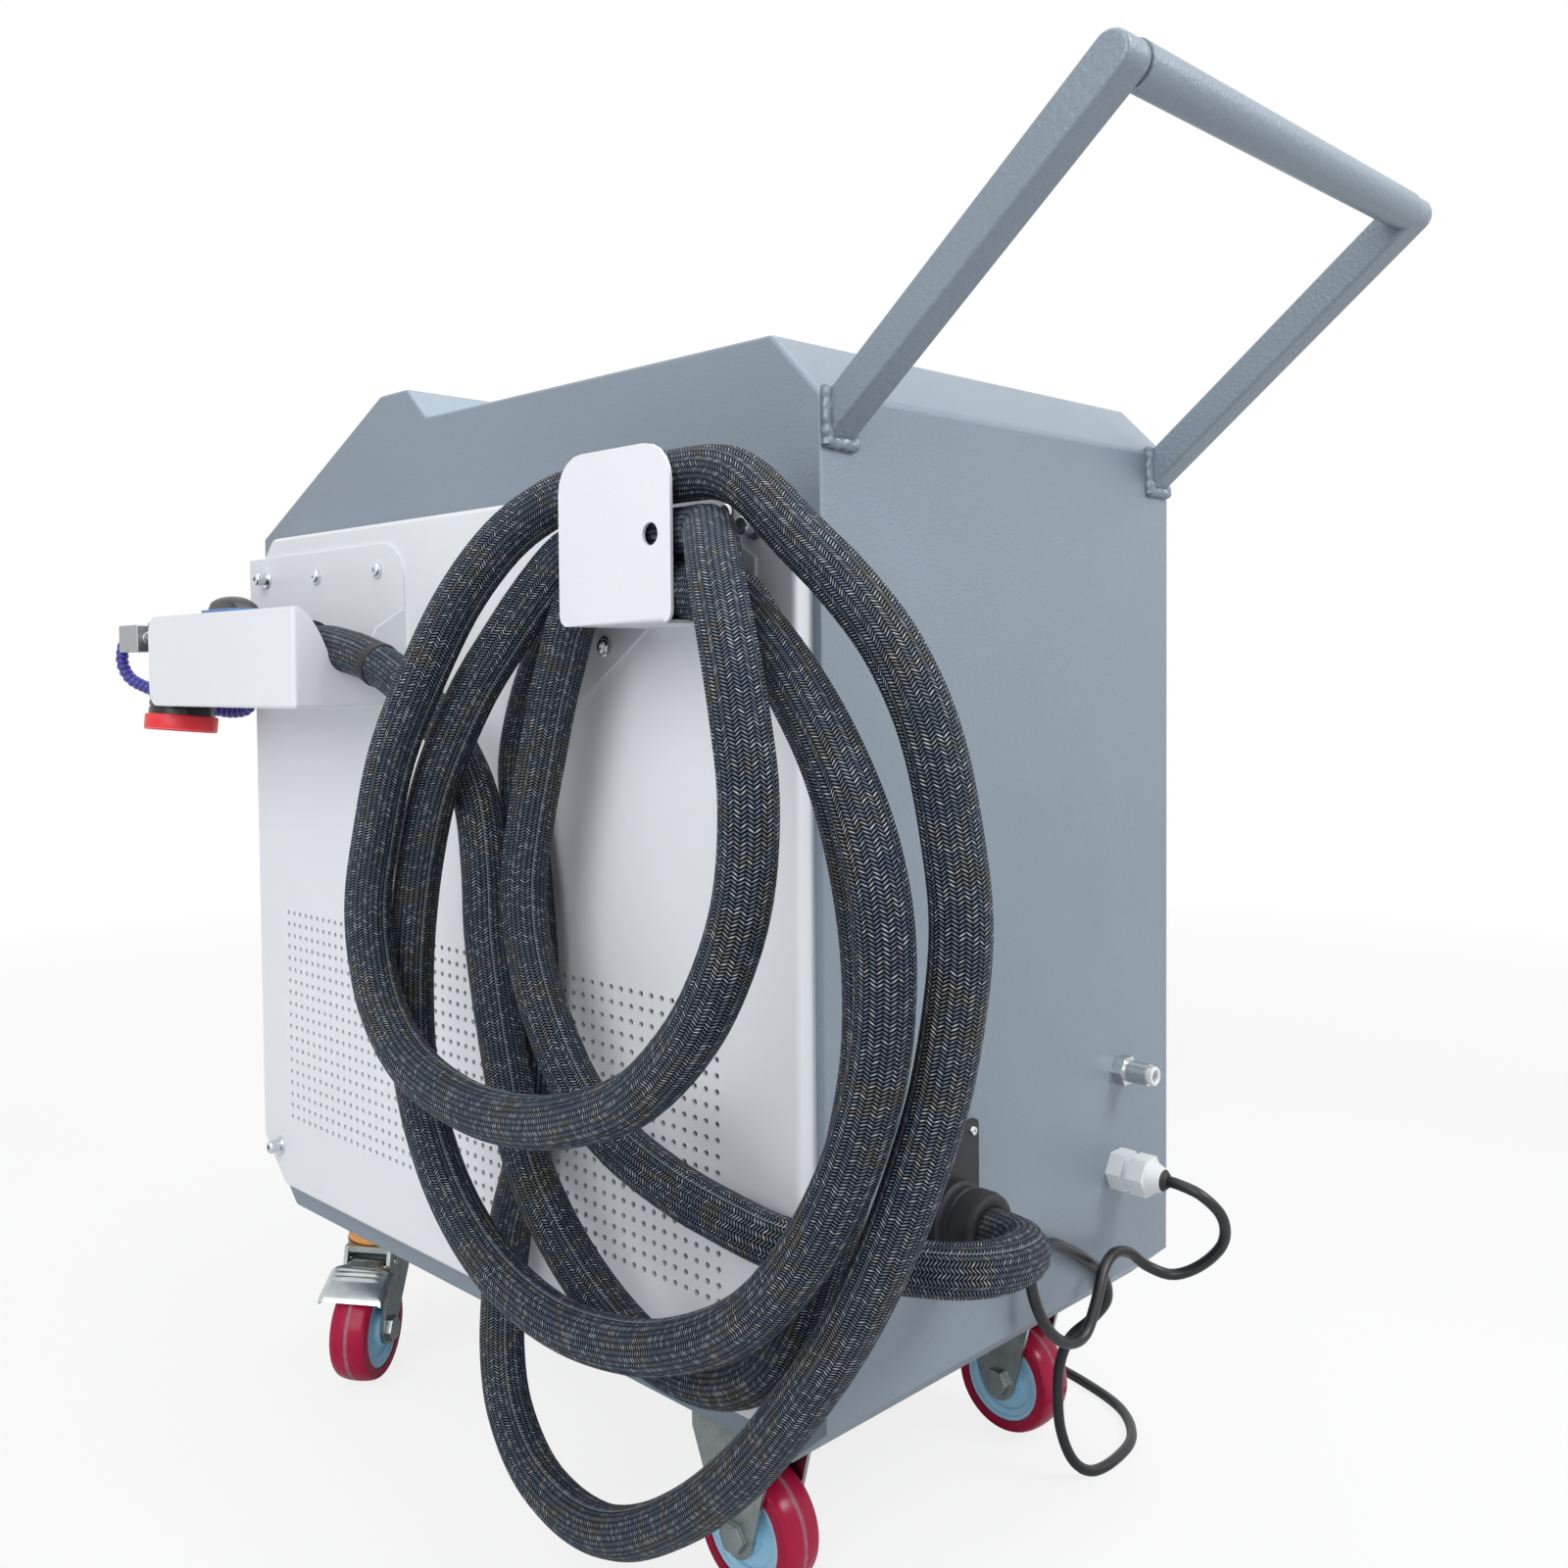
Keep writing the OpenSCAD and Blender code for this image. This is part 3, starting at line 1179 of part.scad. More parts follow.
module front_fork() difference() {
    union() {
        translate([0, 0, -crown_top - crown_t]) cylinder(d = crown_d, h = crown_t);
        translate([-crown_back, -fork_gap / 2 - leg_t, -crown_top - crown_t])
            cube([crown_back + crown_front, fork_gap + 2 * leg_t, crown_t]);
        for (s = [-1, 1]) translate([0, s * (fork_gap + leg_t) / 2, 0]) upright(leg_t) {
            c = [trail, -axle_drop];
            polygon([[-crown_back, -crown_top], touch([-crown_back, -crown_top], c, boss_r, -1),
                c, touch([crown_front, -crown_top], c, boss_r, 1), [crown_front, -crown_top]]);
            translate(c) circle(r = boss_r);
        }
    }
    translate([0, 0, -crown_top - crown_t - over])
        cylinder(r = stud_d / 2 + run_gap, h = crown_t + 2 * over);
    pin_across(trail, -axle_drop, axle_d / 2 + run_gap, fork_gap + 4 * leg_t);
    pin_across(pedal_u, pedal_v, pedal_pin_d / 2 + run_gap, fork_gap + 4 * leg_t);
}

module front_fork_hose_side() color("lightgray") swivel_hose_side() front_fork();

module front_fork_far_side() color("lightgray") swivel_far_side() front_fork();

// Axle bolt with a head at one end and a nut at the other
module axle_bolt() {
    reach = fork_gap + 2 * leg_t;
    rotate([90, 0, 0]) translate([0, 0, -reach / 2 - over]) cylinder(d = axle_d,
        h = reach + 2 * over);
    for (s = [-1, 1]) translate([0, s * (reach + axle_head_t) / 2, 0]) rotate([90, 0, 0])
        translate([0, 0, -axle_head_t / 2]) cylinder(r = axle_head_w / 2 / cos(30),
            h = axle_head_t, $fn = 6);
}

module at_trail() translate([trail, 0, -axle_drop]) children();

module front_axle_hose_side() color("silver") swivel_hose_side() at_trail() axle_bolt();

module front_axle_far_side() color("silver") swivel_far_side() at_trail() axle_bolt();

module at_rear(s) from_underside(s * swivel_x, rear_y, 90) translate([0, 0, -axle_drop])
    children();

module rear_forks() color("lightgray") for (i = [-1, 1]) from_underside(i * swivel_x, rear_y, 90)
    difference() {
        union() {
            translate([-rear_leg_front, -fork_gap / 2 - leg_t, -plate_t - rear_web_t])
                cube([rear_leg_front + rear_leg_back, fork_gap + 2 * leg_t, rear_web_t]);
            for (s = [-1, 1]) translate([0, s * (fork_gap + leg_t) / 2, 0]) upright(leg_t)
                polygon(rear_leg_outline);
        }
        pin_across(0, -axle_drop, axle_d / 2 + run_gap, fork_gap + 4 * leg_t);
    }

module rear_axles() color("silver") for (i = [-1, 1]) at_rear(i) axle_bolt();

// Bent foot pedal on a pin through the fork, above the tread
module brake_pedal() {
    upright(pedal_tongue_w) intersection() {
        polygon(ribbon(pedal_path, pedal_t));
        translate([0, -ride_height]) square([pedal_split + over, ride_height]);
    }
    upright(pedal_w) intersection() {
        polygon(ribbon(pedal_path, pedal_t));
        translate([pedal_split, -ride_height]) square([ride_height, ride_height]);
    }
    pin_across(pedal_u, pedal_v, pedal_boss_d / 2, pedal_tongue_w);
    pin_across(pedal_u, pedal_v, pedal_pin_d / 2, fork_gap + 2 * leg_t + 2 * over);
    for (k = [0:2]) pin_across(pedal_split + k * pedal_rib_step, pedal_rib_v - k * pedal_rib_step / 2,
        pedal_rib_r, pedal_w - pedal_boss_d);
}

module brake_pedal_hose_side() color("silver") swivel_hose_side() brake_pedal();

module brake_pedal_far_side() color("silver") swivel_far_side() brake_pedal();

module tyre() rotate([90, 0, 0]) rotate_extrude($fn = 96) {
    w = tread_w / 2;
    polygon(rounded([[hub_r, -w], [wheel_r, -w], [wheel_r, w], [hub_r, w]],
        [over / 2, 4 * over, 4 * over, over / 2]));
}

// Stepped hub with a deep web and a centre boss
module hub() rotate([90, 0, 0]) rotate_extrude($fn = 96) {
    w = tread_w / 2 - over;
    b = hub_len / 2;
    bore = axle_d / 2 + run_gap;
    polygon([[bore, -b], [boss_r, -b], [boss_r + over, -w + 5 * over], [hub_r * 0.72, -w + 5 * over],
        [hub_r * 0.76, -w + 2 * over], [hub_r * 0.88, -w + 2 * over], [hub_r * 0.9, -w],
        [hub_r, -w], [hub_r, w], [hub_r * 0.9, w], [hub_r * 0.88, w - 2 * over],
        [hub_r * 0.76, w - 2 * over], [hub_r * 0.72, w - 5 * over], [boss_r + over, w - 5 * over],
        [boss_r, b], [bore, b]]);
}

module tyre_front_hose_side() color("#a8163c") swivel_hose_side() at_trail() tyre();

module tyre_front_far_side() color("#a8163c") swivel_far_side() at_trail() tyre();

module tyre_rear_hose_side() color("#a8163c") at_rear(1) tyre();

module tyre_rear_far_side() color("#a8163c") at_rear(-1) tyre();

module hub_front_hose_side() color("#6fb6dc") swivel_hose_side() at_trail() hub();

module hub_front_far_side() color("#6fb6dc") swivel_far_side() at_trail() hub();

module hub_rear_hose_side() color("#6fb6dc") at_rear(1) hub();

module hub_rear_far_side() color("#6fb6dc") at_rear(-1) hub();

echo("hose length", run_length(hose_route));
echo("hose gap", self_gap(refine(hose_route, 2), 6, hose_d));
echo("cable length", run_length(cable_route) + run_length(coil_points));
echo("coil gap", self_gap(coil_points, 12, cable_d));

cabinet_shell();
base_plate();
hose_side_panel();
far_side_panel();
panel_screws();
screen_bezel();
screen_glass();
estop_collar();
estop_button();
key_switch_body();
key();
power_lamp();
handle_arm_hose_side();
handle_arm_far_side();
handle_bar();
handle_welds();
hose_hook();
gun_tray();
bracket_screws();
hose_exit_plate();
hose_exit_boot();
laser_hose();
air_fitting_body();
air_release_ring();
gland_body();
gland_nut();
power_cable();
power_cable_coil();
power_plug();
gun_housing();
gun_lens_tube();
gun_lens_cap();
gun_knob();
gun_trigger();
gun_air_connector();
gun_air_tube();
laser_source();
power_supply();
control_board();
fan_frame();
fan_rotor();
caster_plates();
caster_bolts();
rear_forks();
rear_axles();
swivel_seals();
front_fork_hose_side();
front_fork_far_side();
front_axle_hose_side();
front_axle_far_side();
brake_pedal_hose_side();
brake_pedal_far_side();
tyre_front_hose_side();
tyre_front_far_side();
tyre_rear_hose_side();
tyre_rear_far_side();
hub_front_hose_side();
hub_front_far_side();
hub_rear_hose_side();
hub_rear_far_side();
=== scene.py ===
import math
from functools import partialmethod

import bmesh
import bpy
from mathutils import Matrix, Vector, noise


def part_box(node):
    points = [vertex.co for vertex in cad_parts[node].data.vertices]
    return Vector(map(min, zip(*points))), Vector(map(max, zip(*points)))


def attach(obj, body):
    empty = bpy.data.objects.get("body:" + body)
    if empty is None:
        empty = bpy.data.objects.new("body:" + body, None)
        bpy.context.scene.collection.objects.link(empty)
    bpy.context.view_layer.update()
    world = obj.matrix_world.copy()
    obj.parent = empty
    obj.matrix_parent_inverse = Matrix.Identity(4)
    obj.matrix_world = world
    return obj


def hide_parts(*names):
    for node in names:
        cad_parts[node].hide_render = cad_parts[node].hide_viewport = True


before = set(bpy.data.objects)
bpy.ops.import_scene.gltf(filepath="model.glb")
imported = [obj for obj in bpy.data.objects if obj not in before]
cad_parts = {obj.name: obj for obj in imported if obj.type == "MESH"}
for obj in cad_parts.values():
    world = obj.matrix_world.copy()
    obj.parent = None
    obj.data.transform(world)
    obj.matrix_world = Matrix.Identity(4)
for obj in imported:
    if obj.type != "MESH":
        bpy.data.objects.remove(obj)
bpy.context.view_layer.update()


# Camera: close behind the hose side corner of the machine, at the height of a person's
# waist, with a moderately wide lens and the small shift of the framing.
yaw, pitch, roll = -2.3444866, -0.0352022, -0.009719
ahead = Vector((math.cos(yaw) * math.cos(pitch), math.sin(yaw) * math.cos(pitch), math.sin(pitch)))
level = ahead.cross(Vector((0, 0, 1))).normalized()
upward = level.cross(ahead)
right = level * math.cos(roll) + upward * math.sin(roll)
above = upward * math.cos(roll) - level * math.sin(roll)
camera = bpy.data.objects.new("camera", bpy.data.cameras.new("camera"))
camera.matrix_world = (Matrix.Translation((0.81955, 0.90193, 0.60997))
                       @ Matrix((right, above, -ahead)).transposed().to_4x4())
camera.data.lens = 33.473
camera.data.shift_x = 0.03375
camera.data.shift_y = -0.0395
camera.data.clip_start = 0.02
bpy.context.scene.collection.objects.link(camera)
bpy.context.scene.camera = camera
bpy.context.scene.view_settings.view_transform = "Standard"


# Laser hose: a fibre and its lines inside a wrapped sleeve of black braid, 31 mm thick.
# The sleeve is woven of polyester strands in ribs, and its edge laps over itself along
# the whole length. It leaves the rear wall, hangs in four loops and ends in the gun.
def smooth_line(stations, spacing):
    """Points an even distance apart on a smooth curve through the stations."""
    fine = []
    last = len(stations) - 1
    for i in range(last):
        a, b, c, d = (stations[max(i - 1, 0)], stations[i], stations[i + 1],
                      stations[min(i + 2, last)])
        for k in range(12):
            t = k / 12
            fine.append((2 * b + (c - a) * t + (2 * a - 5 * b + 4 * c - d) * t * t
                         + (3 * b - a - 3 * c + d) * t * t * t) / 2)
    fine.append(stations[-1])
    run = [0.0]
    for one, two in zip(fine, fine[1:]):
        run.append(run[-1] + (two - one).length)
    count = max(2, round(run[-1] / spacing))
    line, j = [], 0
    for i in range(count + 1):
        goal = run[-1] * i / count
        while j < len(run) - 2 and run[j + 1] < goal:
            j += 1
        share = (goal - run[j]) / max(run[j + 1] - run[j], 1e-9)
        line.append(fine[j].lerp(fine[j + 1], min(share, 1)))
    return line


def tube_along(name, line, radius, sides):
    """A closed tube round a line. U runs once round it and V is the run in metres."""
    heading = [(line[min(i + 1, len(line) - 1)] - line[max(i - 1, 0)]).normalized()
               for i in range(len(line))]
    side = heading[0].cross(Vector((0, 0, 1))).normalized()
    points, runs, run = [], [], 0.0
    for i, place in enumerate(line):
        if i:
            run += (place - line[i - 1]).length
        side = (side - heading[i] * side.dot(heading[i])).normalized()
        across = heading[i].cross(side)
        runs.append(run)
        for k in range(sides):
            turn = 2 * math.pi * k / sides
            points.append(place + (side * math.cos(turn) + across * math.sin(turn))
                          * radius(turn, run))
    faces, marks = [], []
    for i in range(len(line) - 1):
        for k in range(sides):
            a, b = i * sides + k, i * sides + (k + 1) % sides
            faces.append((a, a + sides, b + sides, b))
            marks += [(k / sides, runs[i]), (k / sides, runs[i + 1]),
                      ((k + 1) / sides, runs[i + 1]), ((k + 1) / sides, runs[i])]
    for start, centre, order in ((0, line[0], 1), ((len(line) - 1) * sides, line[-1], -1)):
        points.append(centre)
        for k in range(sides):
            ring = (start + k, start + (k + 1) % sides)[::order]
            faces.append((*ring, len(points) - 1))
            marks += [(0, 0)] * 3
    mesh = bpy.data.meshes.new(name)
    mesh.from_pydata(points, [], faces)
    mesh.uv_layers.new(name="along").data.foreach_set("uv", [v for uv in marks for v in uv])
    mesh.update()
    piece = bpy.data.objects.new(name, mesh)
    bpy.context.scene.collection.objects.link(piece)
    mesh.shade_smooth()
    return piece


class Wire:
    """What comes out of a node. Sums written on it add Math nodes."""

    def __init__(self, nodes, socket):
        self.nodes, self.socket = nodes, socket

    def sum(self, operation, *others):
        values = dict(enumerate((self, *others)))
        return self.nodes.add("Math", {"operation": operation}, values)[0]

    __add__ = __radd__ = partialmethod(sum, "ADD")
    __sub__ = partialmethod(sum, "SUBTRACT")
    __mul__ = __rmul__ = partialmethod(sum, "MULTIPLY")
    __truediv__ = partialmethod(sum, "DIVIDE")
    __mod__ = partialmethod(sum, "FLOORED_MODULO")
    __gt__ = partialmethod(sum, "GREATER_THAN")
    __lt__ = partialmethod(sum, "LESS_THAN")
    __abs__ = partialmethod(sum, "ABSOLUTE")
    whole = partialmethod(sum, "FLOOR")
    wave = partialmethod(sum, "SINE")

    def __rsub__(self, other):
        return self * -1 + other

    def held(self):
        """Kept between 0 and 1."""
        return self.nodes.add("Clamp", {}, {0: self})[0]


def paint(code, alpha=1.0):
    """A colour as written on a chart, six hexadecimal digits, in linear light."""
    parts = [int(code[i:i + 2], 16) / 255 for i in (0, 2, 4)]
    return (*[p / 12.92 if p < 0.04045 else ((p + 0.055) / 1.055) ** 2.4 for p in parts], alpha)


class Nodes:
    """The node tree of a material or of the world."""

    def __init__(self, tree):
        self.tree = tree

    def add(self, kind, settings, sockets):
        """A node of a kind: its settings first, then the values or wires of its sockets."""
        node = self.tree.nodes.new("ShaderNode" + kind)
        for key, value in settings.items():
            if key == "stops":
                while len(node.color_ramp.elements) < len(value):
                    node.color_ramp.elements.new(0.5)
                for stop, (place, colour) in zip(node.color_ramp.elements, value):
                    stop.position, stop.color = place, colour
            else:
                setattr(node, key, value)
        for key, value in sockets.items():
            self.feed(node.inputs[key], value)
        return {**{out.name: Wire(self, out) for out in node.outputs},
                **{i: Wire(self, out) for i, out in enumerate(node.outputs)}}

    def feed(self, socket, value):
        if isinstance(value, Wire):
            self.tree.links.new(value.socket, socket)
        else:
            socket.default_value = value

    def place(self):
        return self.add("TexCoord", {}, {})["Object"]

    def parts(self, source):
        """The three numbers of a vector."""
        split = self.add("SeparateXYZ", {}, {0: source})
        return split["X"], split["Y"], split["Z"]

    def unrolled(self):
        """The piece's own UV, across it and along it."""
        return self.parts(self.add("UVMap", {}, {})["UV"])[:2]

    def grain(self, size, detail=3.0):
        """Noise from 0 to 1 whose spots are about the given size in metres."""
        return self.add("TexNoise", {}, {"Vector": self.place(), "Scale": 1 / size,
                                         "Detail": detail})["Fac"]

    def between(self, share, one, two):
        """A colour between two others."""
        return self.add("Mix", {"data_type": "RGBA"}, {0: share, 6: one, 7: two})[2]


class Finish(Nodes):
    """A material made of nodes, round one Principled shader."""

    def __init__(self, name, **constants):
        self.material = bpy.data.materials.new(name)
        self.material.use_nodes = True
        super().__init__(self.material.node_tree)
        self.shader = self.tree.nodes["Principled BSDF"]
        self.set(**constants)

    def set(self, **values):
        for key, value in values.items():
            self.feed(self.shader.inputs[key.replace("_", " ")], value)
        return self

    def relief(self, height, depth):
        """A bump of the given depth in metres."""
        return self.set(Normal=self.add("Bump", {}, {"Height": height,
                                                     "Distance": depth})["Normal"])


def mottled(name, colours, rough, spread, gloss_spot, bump=0, depth=0, spot=0.02, **constants):
    """A material of one colour, or two near ones in spots, with uneven gloss and a bump."""
    finish = Finish(name, **constants)
    shades = [paint(code) for code in colours.split()]
    finish.colour = finish.between(finish.grain(spot), *shades) if shades[1:] else shades[0]
    finish.set(Base_Color=finish.colour, Roughness=finish.grain(gloss_spot) * spread + rough)
    return finish.relief(finish.grain(bump), depth) if depth else finish


def settle(piece, slot, finish, *nodes, body="cabinet"):
    """Gives a piece its finish and its body, and lets it stand for its nodes."""
    piece.data.materials.clear()
    piece.data.materials.append(finish.material)
    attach(piece, body)
    if nodes:
        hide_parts(*nodes)


seam_share = 0.62


def braid(name):
    """Herringbone braid: ribs of slanting strands, each pair of ribs leaning together."""
    rib_count, strand_pitch, seam_half = 28, 0.0020, 0.003
    finish = Finish(name, Specular_IOR_Level=0.12)
    round_, run = finish.unrolled()
    rib = round_ * rib_count
    across = rib % 1
    lean = (rib.whole() % 2) * 2 - 1
    strand = run / strand_pitch + lean * across * 1.1
    bulge = (strand % 1 * math.pi).wave()
    crest = (across * math.pi).wave()
    # Painted light: the strand crests take the pale strand colours below as a painted highlight,
    # and the valleys between them are painted near black (030508) as shade.
    painted_crest_light = (bulge * 2.6 + crest * 0.6 - 2.3).held()
    which = finish.add("CombineXYZ", {}, {0: rib.whole(), 1: strand.whole()})[0]
    highlight_speck_chance = finish.add("TexWhiteNoise", {"noise_dimensions": "3D"}, {"Vector": which})["Value"]
    lit_strand_tint = finish.add("ValToRGB", {"stops": [
        (0.34, paint("6c7c93")), (0.44, paint("76849a")), (0.48, paint("86867c")),
        (0.52, paint("76849a")), (0.60, paint("6a7a94")),
        (0.80, paint("7c8796"))]}, {"Fac": finish.grain(0.05, 2.0)})["Color"]
    # Random strands are painted paler still (d3dae3) as glinting specks, which are painted
    # highlights.
    strands = finish.between((highlight_speck_chance - 0.6).held() * 2.0, lit_strand_tint, paint("d3dae3"))
    seam = abs(round_ - seam_share) < seam_half
    colour = finish.between(painted_crest_light, paint("030508"), strands)
    colour = finish.between(seam, colour, paint("7f8791"))
    finish.set(Base_Color=colour, Roughness=0.62 - painted_crest_light * 0.34)
    return finish.relief(bulge * crest + seam, 0.0008)


hose_line = smooth_line([Vector(place) / 1000 for place in (
    (78, 343.5, 258), (78, 372, 258), (85, 396, 260), (105, 414, 264), (136, 420, 268),
    (166, 413, 272), (188, 394, 275), (204, 371, 277), (217, 351, 280), (230, 331, 284),
    (238, 303, 291), (247, 264, 303), (256, 223, 323), (261, 190, 350), (262, 160, 392),
    (261, 141, 434), (260, 136, 476), (259, 143, 516), (258, 156, 562), (257, 166, 596),
    (257, 177, 622), (259, 188, 642), (260, 202, 654), (261, 220, 657), (261, 245, 655),
    (261, 270, 655), (261, 294, 655), (262, 318, 653), (268, 346, 642), (277, 390, 608),
    (286, 427, 570), (291, 452, 530), (292, 463, 486), (290, 460, 435), (288, 447, 390),
    (287, 426, 345), (287, 398, 303), (287, 362, 266), (288, 318, 240), (289, 268, 223),
    (290, 206, 217), (291, 147, 230), (292, 100, 262), (293, 70, 305), (293, 54, 350),
    (293, 51, 395), (293, 55, 440), (293, 67, 491), (293, 88, 542), (287, 118, 594),
    (277, 144, 632), (266, 163, 661), (258, 185, 683), (257, 210, 688), (257, 240, 688),
    (257, 270, 688), (257, 296, 688), (264, 316, 687), (280, 336, 679), (297, 357, 658),
    (311, 379, 626), (320, 396, 590), (325, 407, 548), (325, 403, 502), (325, 388, 462),
    (325, 363, 424), (325, 324, 388), (325, 278, 366), (325, 227, 352), (325, 167, 348),
    (325, 108, 360), (325, 72, 388), (325, 56, 424), (325, 53, 463), (325, 65, 507),
    (325, 86, 559), (319, 114, 610), (302, 131, 657), (282, 152, 694), (264, 177, 715),
    (257, 204, 721), (257, 236, 721), (257, 270, 721), (257, 296, 721), (257, 318, 720),
    (257, 336, 714), (258, 354, 702), (259, 380, 680), (260, 412, 654), (260, 443, 621),
    (260, 466, 580), (260, 479, 530), (260, 484, 480), (260, 474, 415), (260, 456, 360),
    (260, 434, 310), (260, 406, 260), (260, 372, 212), (260, 334, 165), (260, 285, 119),
    (259, 230, 84), (257, 180, 72), (253, 130, 80), (248, 95, 107), (242, 78, 140),
    (235, 71, 180), (229, 73, 228), (229, 92, 278), (229, 104, 334), (229, 106, 400),
    (229, 101, 460), (229, 94, 510), (229, 92, 550), (229, 106, 592), (229, 128, 627),
    (229, 155, 652), (229, 188, 666), (229, 220, 672), (229, 250, 672), (229, 274, 668),
    (229, 294, 659), (229, 310, 648), (229, 324, 630), (234, 350, 601), (240, 380, 564),
    (244, 402, 520), (246, 415, 466), (246, 415, 410), (245, 402, 354), (245, 384, 302),
    (244, 364, 256), (243, 339, 220), (242, 306, 198), (243, 267, 191), (246, 227, 198),
    (252, 188, 224), (258, 156, 260), (261, 132, 300), (261, 112, 360), (261, 96, 430),
    (261, 93, 480), (261, 86, 522), (261, 67, 552), (261, 38, 579), (261, -6, 605),
    (261, -50, 621), (261, -90, 629), (262, -112, 632), (262, -132, 632))], 0.0078)


def hose_radius(turn, run):
    """Fourteen ribs round the sleeve, and the step of its lapped edge."""
    lap = (turn / (2 * math.pi) - seam_share) % 1
    return 0.01532 + 0.00030 * math.cos(14 * turn) - 0.0004 * lap


hose_sides = 84
hose = tube_along("hose_braid", hose_line, hose_radius, hose_sides)
sleeve_finish = braid("braided_sleeve")
settle(hose, "black_braid", sleeve_finish, "laser_hose")

# Second sleeve over the hose's last stretch, from the gun to just outside the tray, with
# a dark shrunk band round its edge.
cuff_line = [place for place in hose_line if place.y < -0.026 and place.z > 0.6]
cuff = tube_along("hose_cuff", cuff_line, lambda turn, run: hose_radius(turn, run) + 0.0005,
                  hose_sides)
settle(cuff, "black_braid", sleeve_finish)
band_run = 0.0055
band = tube_along("hose_cuff_band", smooth_line(cuff_line[:2], 0.0008), lambda turn, run: (
    0.0162 + 0.0004 * math.sin(math.pi * min(run / band_run, 1))), 64)
shrink = mottled("shrunk_band", "0e0f12", 0.34, 0.25, 0.004, 0.0015, 0.0002)
settle(band, "black_braid", shrink)


# Power cable: 8 mm black cable, out of the gland, round in two low loops at the rear wall,
# down and along the floor, to a neat coil behind the cabinet.
coil_place, coil_radius, coil_pitch, cable_radius = Vector((-0.3, 0.06, 0)), 0.0544, 0.0088, 0.004
cable_stations = [Vector(place) / 1000 for place in (
    (-122.7, 377.5, 241.4), (-122.7, 387.5, 241.4), (-127, 404, 236), (-138, 414, 220),
    (-147, 410, 198), (-146, 394, 178), (-138, 376, 168), (-126, 362, 174), (-112, 356, 186),
    (-94, 354, 190), (-76, 356, 183), (-60, 360, 166), (-42, 362, 150), (-20, 360, 152),
    (-2, 356, 170), (4, 350, 196), (-6, 347, 213), (-26, 345, 214), (-50, 344, 203),
    (-74, 344, 188), (-96, 344, 170), (-104, 342, 150), (-103, 330, 132), (-100, 314, 114),
    (-100, 305, 92), (-100, 303, 66), (-101, 305, 40), (-108, 311, 17), (-124, 317, 5),
    (-152, 320, 4), (-190, 312, 4), (-222, 284, 4), (-240, 240, 4), (-250, 190, 4),
    (-250, 140, 4), (-246, 100, 4), (-245.6, 76, 4), (-245.6, 68, 4))]
for k in range(5 * 24 + 1):
    s = k / 24
    reach = coil_radius - coil_pitch * (2.5 - abs(s - 2.5))
    lift = coil_pitch * min(max(2 * (s - 2.25), 0), 1) + max(0, 2 * s - 9) * 0.0062
    cable_stations.append(coil_place + Vector((reach * math.cos(2 * math.pi * s),
                                               -reach * math.sin(2 * math.pi * s),
                                               cable_radius + lift)))
cable_stations.append(Vector((-0.2456, 0.052, 0.019)))
cable_line = smooth_line(cable_stations, 0.0045)
cable = tube_along("power_cable_run", cable_line, lambda turn, run: cable_radius, 14)
rubber = mottled("cable_rubber", "15161a", 0.24, 0.14, 0.01, 0.0008, 0.00012)
settle(cable, "black_cable", rubber, "power_cable", "power_cable_coil")


# Power plug: moulded round the end of the cable, with a ribbed strain relief, finger
# grips and two round pins.
def pick(*pieces):
    """Selects these pieces alone, or none, the first of them active."""
    bpy.ops.object.select_all(action="DESELECT")
    for piece in pieces:
        piece.select_set(True)
    bpy.context.view_layer.objects.active = pieces[0] if pieces else None


def joined(name, *pieces):
    pick(*pieces)
    if len(pieces) > 1:
        bpy.ops.object.join()
    pieces[0].name = name
    return pieces[0]


def lathe(name, outline, sides, place=(0, 0, 0), axis="Z"):
    """A closed shape turned from an outline of (radius, height) points in millimetres."""
    pick()
    bpy.ops.mesh.primitive_circle_add(vertices=3, radius=0.01)
    piece = bpy.context.object
    piece.name = name
    bpy.ops.object.mode_set(mode="EDIT")
    bpy.ops.mesh.delete(type="VERT")
    shape = bmesh.from_edit_mesh(piece.data)
    row = [shape.verts.new((radius / 1000, 0, height / 1000)) for radius, height in outline]
    for one, two in zip(row, row[1:]):
        shape.edges.new((one, two))
    bmesh.update_edit_mesh(piece.data)
    bpy.ops.mesh.select_all(action="SELECT")
    bpy.ops.mesh.spin(steps=sides, angle=2 * math.pi, center=(0, 0, 0), axis=(0, 0, 1))
    bpy.ops.mesh.select_all(action="SELECT")
    bpy.ops.mesh.remove_doubles(threshold=1e-5)
    bpy.ops.mesh.normals_make_consistent(inside=False)
    bpy.ops.object.mode_set(mode="OBJECT")
    turn = {"Z": (0, 0, 0), "Y": (-math.pi / 2, 0, 0), "-Y": (math.pi / 2, 0, 0),
            "X": (0, math.pi / 2, 0)}[axis]
    piece.rotation_euler = turn
    piece.location = place
    bpy.ops.object.transform_apply(location=True, rotation=True, scale=True)
    bpy.ops.object.shade_smooth_by_angle(angle=math.radians(35))
    return piece


plug_place = Vector((-0.2456, 0.052, 0.019))
relief_rings = []
for i in range(5):
    low, wide = 4.2 * i, 4.8 + 0.5 * i
    relief_rings += [(wide, low), (wide + 0.9, low + 0.6), (wide + 0.9, low + 2.6),
                     (wide, low + 3.2)]
plug = lathe("plug_body", [(0, 0)] + relief_rings + [
    (6.8, 21.5), (8.5, 22.5), (16.5, 33), (18.6, 36.5), (19, 40), (19, 46), (18.3, 47.2),
    (18.3, 48.8), (19, 50), (19, 61.5), (18.2, 63.5), (16.5, 64), (0, 64)], 48, plug_place, "-Y")
moulded = mottled("plug_moulding", "1a1b1f", 0.46, 0.15, 0.006, 0.0006, 0.00015)
settle(plug, "dark_plastic", moulded, "power_plug")
